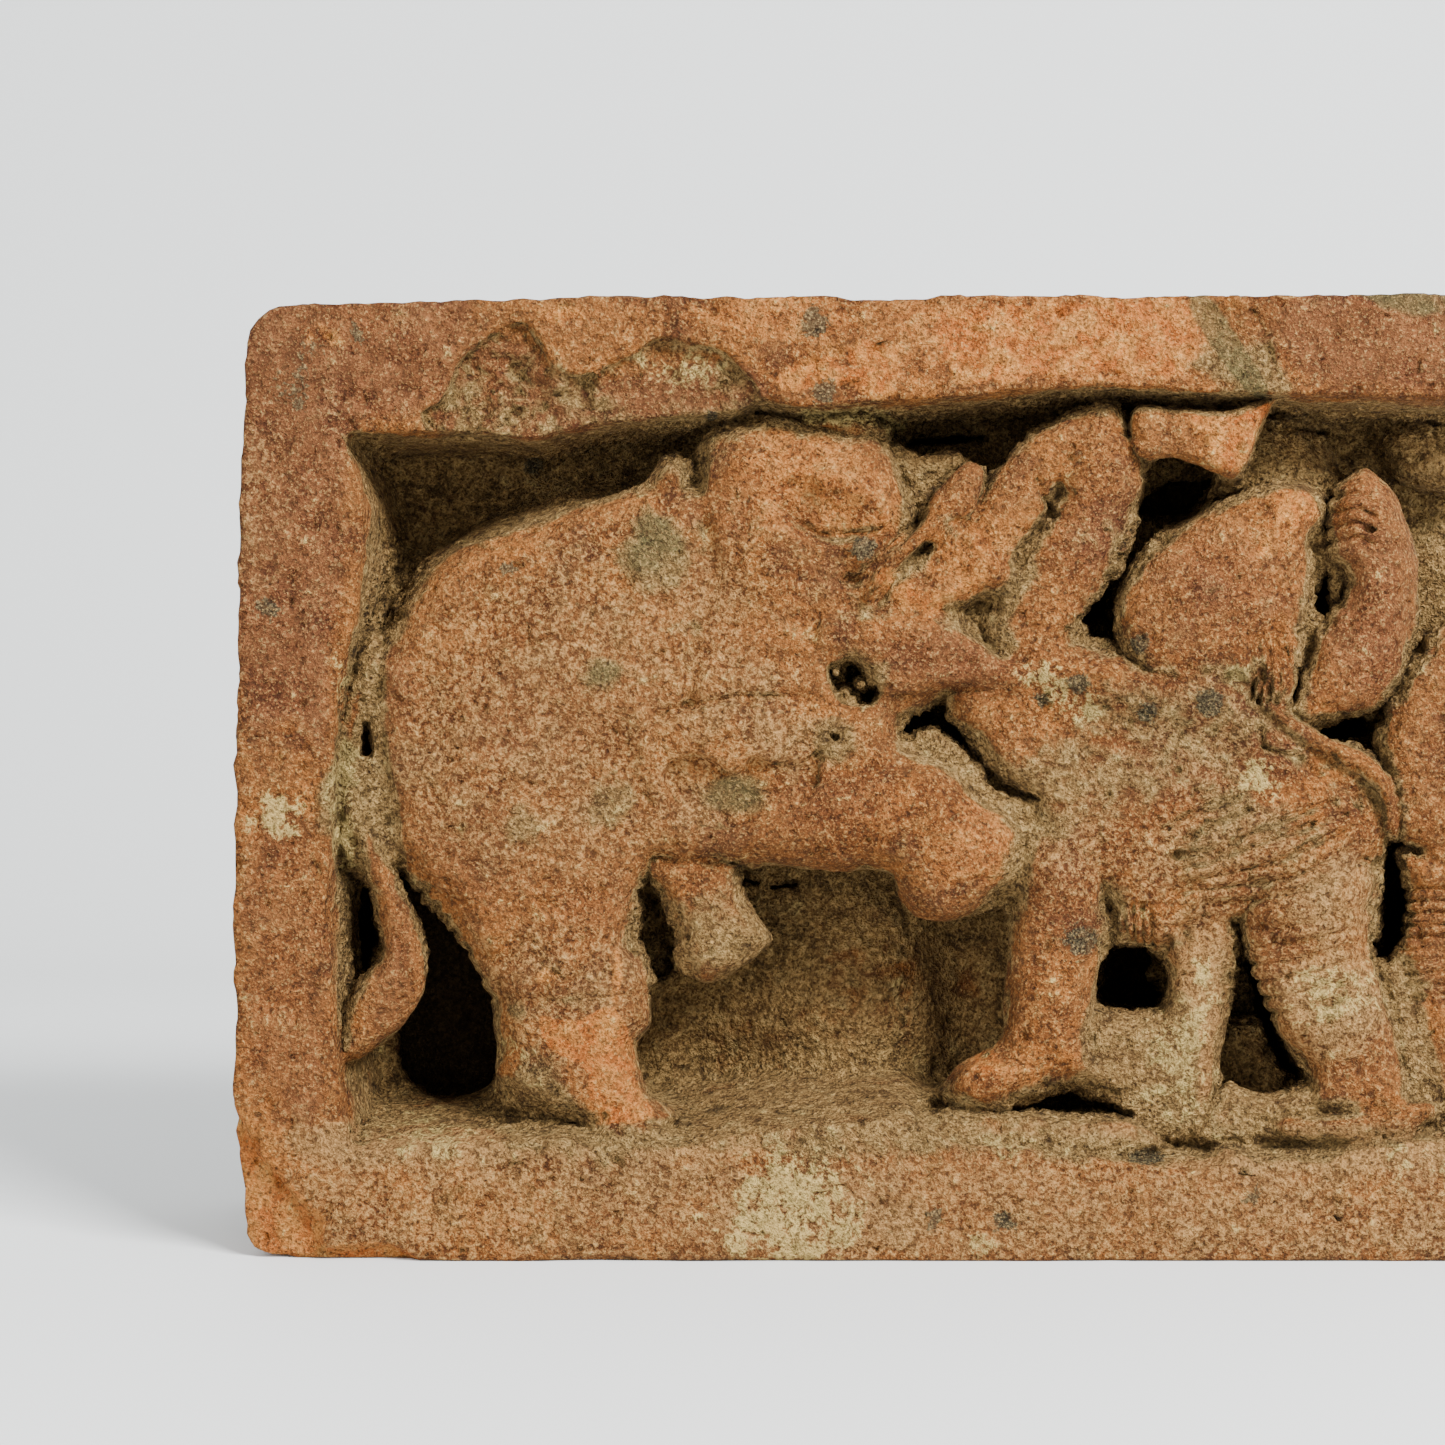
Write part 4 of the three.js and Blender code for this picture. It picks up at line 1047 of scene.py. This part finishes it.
def painted_veil():
    return painted(
        areas=[
            ([(17, 45), (17, 60), (26, 69), (44, 74), (50, 66), (56, 58), (50, 46), (42, 40), (28, 38)],
             0.4, 4),
            ([(24, 32), (40, 34), (43, 22), (42, 12), (34, 14), (28, 20)], 0.35, 2),
            ([(9, 14), (9, 9.6), (36, 10), (72, 11), (98, 9), (128, 9), (128, 13), (90, 14), (40, 13)],
             0.9, 1.4),
            ([(50, 9), (66, 9), (68, 1), (48, 1)], 0.7, 2),
            ([(8, 10), (128, 10), (128, 1), (8, 1)], 0.5, 2),
        ],
        spots=[
            (50, 33, 4, 0.6), (98, 41, 10, 0.6, 0.5, 10), (84, 42, 5, 0.5), (110, 36, 6, 0.7),
            (97, 24, 6, 0.9, 2), (110, 26, 6, 0.9), (48, 67, 6, 0.5), (56, 52, 7, 0.6, 0.5),
            (97, 52, 6, 0.5), (2, 76, 3, 0.3, 3),
        ],
    )


def painted_lime():
    return painted(
        lines=[
            ([(79.4, 58.6), (82.6, 57), (85.6, 55.2)], 1, 0.8),
            ([(57.6, 84.6), (60.2, 84.4), (63.6, 84.6), (66.6, 83.4)], 0.8, 1),
            ([(11.4, 51), (10.8, 46), (11.4, 40.4)], 1.1, 0.9), ([(11.2, 60), (11, 56.6)], 0.6, 0.7),
            ([(26.2, 22.2), (29.4, 20), (31.4, 17.4)], 1, 0.5),
        ],
        spots=[
            (4.8, 44.7, 2.4, 0.9), (55.8, 4.7, 6.2, 0.85), (94.8, 20.2, 3.2, 0.7, 1.6),
            (109.6, 26.4, 4.6, 0.7, 0.8), (82.8, 57.4, 3.4, 0.7, 0.6, -30), (100.4, 58.8, 1.4, 0.8),
            (103, 48.2, 2.4, 0.7), (44.8, 89.2, 3.4, 0.6, 0.5), (47.4, 5, 1.2, 0.6),
            (74.6, 1.8, 2.2, 0.7, 0.5), (38, 45.6, 1.6, 0.5), (78.6, 11.2, 4.6, 0.5, 0.4),
            (20.4, 12.6, 6, 0.5, 0.4), (118.6, 9.6, 4, 0.5, 0.5), (91, 34.6, 1, 0.4),
            (97.2, 27.6, 1.2, 0.8, 3.4),
        ],
    )


def painted_soil():
    return painted(
        areas=[
            (LONG_FLAKE, 0.3), (SHORT_FLAKE, 0.3), (FLAKE_OVER_THE_HILT, 0.3),
            ([(95, 89.4), (99.6, 91.2), (103.6, 91), (106, 86.8), (100.6, 87.6)], 0.6),
            (SOIL_UNDER_FOOT, 0.35, 1),
            ([(42, 11.6), (48, 16.6), (60, 17.4), (71, 16.6), (74, 14), (70, 11.9), (56, 13)], 0.7),
        ],
        lines=[
            ([(58, 12), (68, 12.4), (76, 12), (90, 11.6), (100, 12)], 1.8, 0.6),
            ([(41, 57), (42, 66), (44, 72)], 1.6, 0.3),
            ([(28, 12), (36, 11.4), (44, 12.6), (60, 12), (72, 12.6)], 1.4, 0.45),
        ],
        spots=[
            (42.5, 70.5, 3.6, 0.8), (36.8, 58.2, 2.2, 0.6), (38.3, 46.2, 2.6, 0.7), (28.8, 43.7, 2, 0.7),
            (11.4, 45.6, 3, 0.8, 1.5), (30.6, 16.4, 3.2, 0.8, 1.3), (37, 59, 2.4, 0.7, 0.7),
            (45.6, 63.4, 1.8, 0.6, 0.5), (41.4, 74, 1.6, 0.6), (60.4, 52.5, 2, 0.9), (62.4, 58.4, 2.8, 0.8),
            (86, 48, 8, 0.6, 0.6, -12), (92, 52, 7, 0.45, 0.6, -12), (50, 33, 4.6, 0.55),
            (98, 47.5, 5, 0.3, 0.5, -20),
        ],
    )


def painted_fill():
    """The soil packed between the forms, which shows only below their faces."""
    by_the_end_wall = [(10.6, 84), (18, 84), (17, 74), (16, 62), (11.6, 58)]
    packed = (
        by_the_end_wall, SOIL_BY_THE_TAIL, SOIL_BY_THE_RAISED_ARM, SOIL_UNDER_TRUNK, SOIL_BY_THE_FOREARM,
        SOIL_BY_THE_LOBE, SOIL_BY_THE_HILT, SOIL_BY_THE_SAWN_END, SOIL_BETWEEN, SOIL_BY_THE_STRUT,
        SOIL_BY_THE_HEEL, SOIL_IN_FRONT, STONE_BY_THE_STRUT,
    )
    return painted(areas=[(outline, 0.9, 1) for outline in packed])


def painted_iron():
    nodules = [
        (6.2, 86.7, 1.2), (8, 91.4, 0.7), (12.4, 92.6, 0.5), (3.6, 65.4, 0.9), (58.2, 93.9, 1.2),
        (59.2, 87, 1), (63.2, 71.4, 1.1), (84.6, 57.8, 0.9), (81, 56.2, 0.6), (90.8, 61.8, 0.9),
        (91.5, 55, 0.9), (97.8, 55.9, 1.2), (84.9, 32.2, 1.3), (77.1, 4.2, 0.9), (27.6, 69.4, 0.6),
        (48, 84.6, 0.5), (70.2, 4.6, 0.7), (102, 6.2, 0.6), (30.2, 79.6, 0.8),
    ]
    return painted(spots=[(*nodule, 1) for nodule in nodules] + [(91.4, 10.5, 1.5, 1, 0.45)])


def painted_green():
    return painted(
        areas=[
            ([(105, 97.4), (126, 97.8), (126, 95.4), (119, 94.4), (112, 96)], 0.6),
            ([(95.8, 96), (98, 96.4), (103.6, 87.8), (102, 86.6), (98, 92)], 0.9),
        ],
        spots=[
            (50.8, 46.4, 4, 0.7, 0.6), (42, 71.4, 3.6, 0.8), (36.8, 58.6, 2.6, 0.7), (30.6, 16.8, 2.6, 0.4),
            (38.6, 46, 2, 0.3), (28.6, 25.6, 1.4, 0.6), (84.9, 32.2, 2.2, 0.4),
        ],
    )


# Materials

def node_tree(material):
    material.use_nodes = True
    tree = material.node_tree
    tree.nodes.clear()
    return tree


class Nodes:
    """Short ways to make and join shader nodes."""

    def __init__(self, tree):
        self.tree = tree

    def new(self, kind, **settings):
        node = self.tree.nodes.new(kind)
        for key, value in settings.items():
            setattr(node, key, value)
        return node

    def feed(self, socket, value):
        if isinstance(value, bpy.types.NodeSocket):
            self.tree.links.new(value, socket)
        else:
            socket.default_value = value

    def noise(self, vector, scale, detail=4.0, roughness=0.55, distortion=0.0):
        node = self.new("ShaderNodeTexNoise")
        self.feed(node.inputs["Vector"], vector)
        node.inputs["Scale"].default_value = scale
        node.inputs["Detail"].default_value = detail
        node.inputs["Roughness"].default_value = roughness
        node.inputs["Distortion"].default_value = distortion
        return node.outputs["Fac"]

    def ramp(self, value, low, high, to_low=0.0, to_high=1.0):
        node = self.new("ShaderNodeMapRange", clamp=True, interpolation_type="SMOOTHSTEP")
        self.feed(node.inputs["Value"], value)
        for name, number in zip(("From Min", "From Max", "To Min", "To Max"), (low, high, to_low, to_high)):
            self.feed(node.inputs[name], number)
        return node.outputs["Result"]

    def math(self, operation, a, b=None, c=None):
        node = self.new("ShaderNodeMath", operation=operation)
        for socket, value in zip(node.inputs, (a, b, c)):
            if value is not None:
                self.feed(socket, value)
        return node.outputs[0]

    def mix(self, factor, a, b, blend="MIX"):
        node = self.new("ShaderNodeMix", data_type="RGBA", blend_type=blend)
        self.feed(node.inputs[0], factor)
        self.feed(node.inputs[6], a)
        self.feed(node.inputs[7], b)
        return node.outputs[2]

    def attribute(self, name):
        node = self.new("ShaderNodeAttribute", attribute_type="GEOMETRY", attribute_name=name)
        return node.outputs["Fac"]

    def shares(self, a, share_of_a, b, share_of_b):
        return self.math("ADD", self.math("MULTIPLY", a, share_of_a), self.math("MULTIPLY", b, share_of_b))

    def patched(self, mask, breaker, spread, low, high):
        """A painted mask with its edge broken up by a noise."""
        ragged = self.math("MULTIPLY", self.math("SUBTRACT", breaker, 0.5), spread)
        return self.ramp(self.math("ADD", mask, ragged), low, high)

    def tones(self, value, low, high, dark, pale):
        """From a dark colour to a pale one as a noise goes from low to high."""
        return self.mix(self.ramp(value, low, high), seen(*dark), seen(*pale))

    def coat(self, under, mask, amount, over):
        return self.mix(self.math("MULTIPLY", mask, amount), under, over)

    def flecks(self, under, *rows):
        """Flecks of other colours: noise, its low and high, the strength at each, and the colour."""
        for value, low, high, at_low, at_high, colour in rows:
            under = self.mix(self.ramp(value, low, high, at_low, at_high), under, seen(*colour))
        return under

    def rough_shader(self, roughness):
        """A shader joined to the material's output."""
        shader = self.new("ShaderNodeBsdfPrincipled")
        shader.inputs["Roughness"].default_value = roughness
        output = self.new("ShaderNodeOutputMaterial")
        self.feed(output.inputs["Surface"], shader.outputs["BSDF"])
        return shader


STONE_LIGHT = 0.42


def seen(red, green, blue):
    """The surface colour that looks like these 0 to 255 screen values where the panel is fully lit."""
    screen = [value / 255 for value in (red, green, blue)]
    linear = [v / 12.92 if v <= 0.04045 else ((v + 0.055) / 1.055) ** 2.4 for v in screen]
    return (*(v * STONE_LIGHT for v in linear), 1.0)


def sandstone():
    material = bpy.data.materials.new("sandstone")
    n = Nodes(node_tree(material))
    place = n.new("ShaderNodeTexCoord").outputs["Object"]
    broad = n.noise(place, 14, 3, 0.5)
    patch = n.noise(place, 48, 4, 0.55, 0.6)
    other_patch = n.noise(place, 74, 4, 0.55, 0.3)
    mottle = n.noise(place, 210, 4, 0.6, 0.4)
    rough = n.noise(place, 720, 3, 0.65, 0.5)
    grain = n.noise(place, 1900, 2, 0.6)
    cells = n.new("ShaderNodeTexVoronoi")
    n.feed(cells.inputs["Vector"], place)
    cells.inputs["Scale"].default_value = 1700
    split = n.new("ShaderNodeSeparateColor")
    n.feed(split.inputs[0], cells.outputs["Color"])
    chance = split.outputs[0]

    # The stone: red-brown, with darker and more orange patches and soft flecks
    base = n.tones(broad, 0.38, 0.62, (140, 82, 40), (164, 102, 52))
    base = n.flecks(
        base,
        (patch, 0.46, 0.62, 0, 0.75, (192, 118, 54)),
        (other_patch, 0.5, 0.64, 0, 0.7, (112, 66, 42)),
    )
    warm = n.patched(n.attribute("warm"), patch, 1.3, 0.2, 0.75)
    base = n.coat(base, warm, 0.85, n.tones(mottle, 0.35, 0.65, (190, 110, 50), (230, 152, 78)))
    base = n.flecks(
        base,
        (mottle, 0.52, 0.72, 0, 0.55, (206, 144, 80)),
        (mottle, 0.48, 0.32, 0, 0.6, (100, 58, 34)),
        (rough, 0.52, 0.72, 0, 0.5, (216, 156, 86)),
        (rough, 0.46, 0.30, 0, 0.75, (101, 60, 36)),
    )
    dark = n.patched(n.attribute("dark"), patch, 1.4, 0.2, 1)
    base = n.coat(base, dark, 0.8, n.tones(mottle, 0.36, 0.62, (104, 58, 36), (146, 90, 58)))

    # Dust over the worn places, with a paler powder in it
    film = n.shares(other_patch, 0.5, mottle, 0.5)
    veil = n.attribute("veil")
    dust = n.patched(n.math("ADD", veil, 0.1), film, 3.4, 0.3, 1)
    base = n.coat(base, dust, 0.62, n.tones(rough, 0.36, 0.64, (144, 106, 60), (188, 142, 84)))
    powder = n.patched(n.math("ADD", veil, 0.2), rough, 3.2, 0.4, 1)
    base = n.coat(base, powder, 0.5, seen(210, 164, 104))

    # Fresh orange breaks
    fresh = n.patched(n.attribute("fresh"), mottle, 1.4, 0.36, 0.62)
    base = n.coat(base, fresh, 0.85, n.tones(mottle, 0.35, 0.65, (206, 112, 46), (236, 158, 80)))

    # Soil, thick in the hollows
    buried = n.math("ADD", n.attribute("hollow"), n.attribute("soil"))
    soil = n.patched(buried, film, 1.7, 0.26, 0.6)
    soil_colour = n.flecks(
        n.tones(rough, 0.34, 0.66, (154, 120, 70), (204, 166, 104)),
        (mottle, 0.52, 0.7, 0, 0.6, (216, 182, 120)),
        (mottle, 0.48, 0.34, 0, 0.8, (84, 64, 38)),
        (grain, 0.42, 0.30, 0, 0.6, (60, 44, 27)),
    )
    base = n.coat(base, soil, 0.92, soil_colour)

    # Lichen, lime and iron nodules
    green = n.patched(n.attribute("green"), patch, 2, 0.4, 0.7)
    base = n.coat(base, green, 0.7, seen(109, 107, 68))
    lime = n.patched(n.attribute("lime"), n.shares(mottle, 0.6, rough, 0.4), 4.2, 0.42, 0.8)
    base = n.coat(base, lime, 0.85, seen(228, 198, 122))
    iron = n.patched(n.attribute("iron"), rough, 1.6, 0.26, 0.46)
    base = n.coat(base, iron, 0.9, n.tones(grain, 0.4, 0.6, (58, 54, 40), (112, 104, 76)))

    # Grains: dark, pale and orange ones among the rest
    base = n.flecks(
        base,
        (chance, 0.10, 0.16, 0.55, 0, (80, 53, 31)),
        (chance, 0.93, 0.97, 0, 0.3, (237, 199, 130)),
        (grain, 0.42, 0.30, 0, 0.7, (81, 51, 29)),
        (grain, 0.57, 0.70, 0, 0.5, (233, 183, 112)),
    )
    shade = n.ramp(n.shares(rough, 0.65, grain, 0.35), 0.38, 0.62, 0.68, 1.3)
    base = n.mix(1.0, base, shade, blend="MULTIPLY")

    # Rubbed edges, lightened partly by wear and partly as a painted highlight; painted shade in the nooks
    # between forms, and near-black painted shade in the deepest holes
    base = n.flecks(
        base,
        # Pale rims on the raised edges: partly rubbed wear, partly a painted highlight
        (n.attribute("worn_edge_and_highlight"), 0.15, 0.8, 0, 0.3, (204, 144, 86)),
        # Painted shade: darker colour in the tight creases where little light reaches
        (n.attribute("nook_shade"), 0.15, 0.9, 0, 0.45, (80, 60, 32)),
        # Painted shade: near-black colour in the deepest holes
        (n.attribute("deep"), 0.2, 1, 0, 0.85, (39, 26, 12)),
    )

    height = n.math("ADD", n.shares(rough, 1.1, mottle, 2), n.math("MULTIPLY", grain, 0.3))
    height = n.math("ADD", height, n.math("MULTIPLY", n.math("MULTIPLY", soil, rough), 1.4))
    bump = n.new("ShaderNodeBump")
    bump.inputs["Strength"].default_value = 0.9
    bump.inputs["Distance"].default_value = 0.0018
    n.feed(bump.inputs["Height"], height)
    shader = n.rough_shader(0.95)
    shader.inputs["Specular IOR Level"].default_value = 0.12
    n.feed(shader.inputs["Base Color"], base)
    n.feed(shader.inputs["Normal"], bump.outputs["Normal"])
    return material


def backdrop_material():
    material = bpy.data.materials.new("backdrop")
    shader = Nodes(node_tree(material)).rough_shader(0.75)
    shader.inputs["Base Color"].default_value = (0.76, 0.775, 0.77, 1)
    return material


# The panel

def carve():
    carving = Carving()
    block_and_frame(carving)
    figures = Carving()
    elephant(figures)
    soldier(figures)
    carving.stone = smooth_min(carving.stone, figures.stone, 0.7 + SOIL_FILLET).astype(np.float32)
    pockets(carving)
    surface_marks(carving)
    fade = (1 - smooth_step(DEEP, 22, 27)).astype(np.float32)
    carving.stone -= carving.raised.astype(np.float32)[:, :, None] * fade
    spread = 1 + DEEP / EYE_AWAY
    real_a = EYE_ACROSS + (ACROSS[:, None] - EYE_ACROSS) * spread - SAWN_END
    real_u = EYE_UP + (UP[:, None] - EYE_UP) * spread
    carving.stone = np.maximum(carving.stone, real_a.astype(np.float32)[:, None, :])
    carving.stone = np.maximum(carving.stone, (real_u - SQUARES_HIGH).astype(np.float32)[None, :, :])
    return carving.stone


def set_attribute(mesh, name, values):
    layer = mesh.attributes.new(name, "FLOAT", "POINT")
    layer.data.foreach_set("value", np.clip(values, 0, 1).astype(np.float32))


# Distances out from the surface, in squares, at which the space is felt for
CLOSE_BY = 0.9
FURTHER = 2.4
FURTHEST = 6.0


def openness(field, p, away, reach):
    """How open the space is straight out from the surface: 1 over a flat face, less in a hollow."""
    ahead = p + away * reach
    low = np.array([ACROSS[0], UP[0], DEEP[0]])
    high = np.array([ACROSS[-1], UP[-1], DEEP[-1]])
    beyond = np.linalg.norm(ahead - np.clip(ahead, low, high), axis=1)
    return np.clip((sample(field, ahead) + beyond) / reach, -1, 1)


def relief_panel():
    field = carve()
    steps, faces = surface_net(field)
    p = grid_to_squares(steps)
    points = squares_to_metres(p)
    normals = vertex_normals(points, faces)
    away = np.stack([normals[:, 0], normals[:, 2], normals[:, 1]], axis=1)
    hollow = 1 - 0.5 * openness(field, p, away, FURTHER) - 0.5 * openness(field, p, away, FURTHEST)
    points = weather(points, normals, p, hollow)
    low = np.array([-LENGTH / 2, -THICKNESS / 2, 0.0])
    high = np.array([LENGTH / 2, THICKNESS / 2, HEIGHT])
    points = np.clip(points, low, high)
    mesh = lighten(mesh_from("stone_relief", points, faces), "stone_relief", PANEL_TRIANGLES)
    mesh.name = "stone_relief"

    count = len(mesh.vertices)
    flat = np.empty(count * 3, dtype=np.float32)
    mesh.vertices.foreach_get("co", flat)
    points = flat.reshape(-1, 3).astype(float)
    mesh.vertices.foreach_get("normal", flat)
    normals = flat.reshape(-1, 3).astype(float)
    p = metres_to_squares(points)
    away = np.stack([normals[:, 0], normals[:, 2], normals[:, 1]], axis=1)
    near = openness(field, p, away, CLOSE_BY)
    mid = openness(field, p, away, FURTHER)
    wide = openness(field, p, away, FURTHEST)
    front = p[:, 2] < FINE_DEPTH
    hollow = 0.75 * np.clip(1 - (0.45 * mid + 0.55 * wide), 0, 1)
    set_attribute(mesh, "hollow", hollow + 0.5 * smooth_step(p[:, 2], 2.5, 8.0) * front)
    # Painted shade: the less open the space just off the surface, the darker the colour in the creases
    set_attribute(mesh, "nook_shade", 1.6 * np.clip(0.72 - near, 0, 1))
    # Rubbed wear and painted highlight: the most open, raised places are lightened
    set_attribute(mesh, "worn_edge_and_highlight", np.clip(2.2 * (near - 0.82), 0, 1) * (mid > 0.8))
    # Painted shade: the deepest holes, behind the recess floor, are darkened almost to black
    set_attribute(mesh, "deep", smooth_step(p[:, 2], FLOOR + 2.4, POCKET_FLOOR - 0.5) * front)
    fill = face_sample(painted_fill(), p) * smooth_step(p[:, 2], 2.4, 4.2)
    set_attribute(mesh, "soil", np.maximum(face_sample(painted_soil(), p), fill) * front)
    painters = {
        "fresh": painted_fresh, "lime": painted_lime, "iron": painted_iron, "green": painted_green,
        "warm": painted_warm, "veil": painted_veil, "dark": painted_dark,
    }
    for name, painter in painters.items():
        set_attribute(mesh, name, face_sample(painter(), p) * front)

    panel = bpy.data.objects.new("stone_relief", mesh)
    bpy.context.scene.collection.objects.link(panel)
    mesh.polygons.foreach_set("use_smooth", np.ones(len(mesh.polygons), dtype=bool))
    mesh.materials.append(sandstone())
    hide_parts("relief_panel")
    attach(panel, "root")
    return panel


# Floor, light and camera

def floor_and_cove():
    """A pale sheet that runs back along the floor and curves up behind."""
    start, radius, front, top = 0.6, 0.3, -2.2, 2.4
    profile = [(front, 0.0), (-0.6, 0.0), (start, 0.0)]
    profile += [
        (start + radius * math.sin(math.radians(t)), radius - radius * math.cos(math.radians(t)))
        for t in range(6, 91, 6)
    ]
    profile.append((start + radius, top))
    points, faces = [], []
    for y, z in profile:
        points += [(-2.6, y, z), (2.6, y, z)]
    for i in range(len(profile) - 1):
        faces.append((2 * i, 2 * i + 1, 2 * i + 3, 2 * i + 2))
    mesh = bpy.data.meshes.new("floor_and_cove")
    mesh.from_pydata(points, [], faces)
    for polygon in mesh.polygons:
        polygon.use_smooth = True
    mesh.materials.append(backdrop_material())
    floor = bpy.data.objects.new("floor_and_cove", mesh)
    bpy.context.scene.collection.objects.link(floor)


# The point that the lamps face, in metres
MIDDLE = Vector((0, 0, 0.1))


def soft_light(name, place, size, power):
    data = bpy.data.lights.new(name, "AREA")
    data.shape = "RECTANGLE"
    data.size, data.size_y = size
    data.energy = power
    lamp = bpy.data.objects.new(name, data)
    lamp.location = place
    lamp.rotation_euler = (MIDDLE - Vector(place)).to_track_quat("-Z", "Y").to_euler()
    bpy.context.scene.collection.objects.link(lamp)


def lights():
    soft_light("key", (0.75, -0.95, 1.05), (0.6, 0.45), 70)
    soft_light("fill", (-0.9, -1.1, 0.6), (0.9, 0.9), 12)
    world = bpy.data.worlds.new("studio")
    world.use_nodes = True
    background = world.node_tree.nodes["Background"]
    background.inputs["Color"].default_value = (0.95, 0.97, 1.0, 1)
    background.inputs["Strength"].default_value = 0.9
    bpy.context.scene.world = world


# Where the camera stands and how many squares its picture takes in
CAMERA_ACROSS = 49.05
CAMERA_UP = 53.95
PICTURE_WIDTH = 144.5
SENSOR = 36.0


def camera():
    data = bpy.data.cameras.new("camera")
    data.sensor_width = SENSOR
    data.lens = SENSOR * EYE_AWAY / PICTURE_WIDTH
    data.clip_start = 0.05
    data.clip_end = 20.0
    eye = bpy.data.objects.new("camera", data)
    across = -LENGTH / 2 + CAMERA_ACROSS * SQUARE
    eye.location = (across, -THICKNESS / 2 - EYE_AWAY * SQUARE, CAMERA_UP * SQUARE)
    eye.rotation_euler = (math.pi / 2, 0, 0)
    bpy.context.scene.collection.objects.link(eye)
    bpy.context.scene.camera = eye


camera()
lights()
floor_and_cove()
relief_panel()
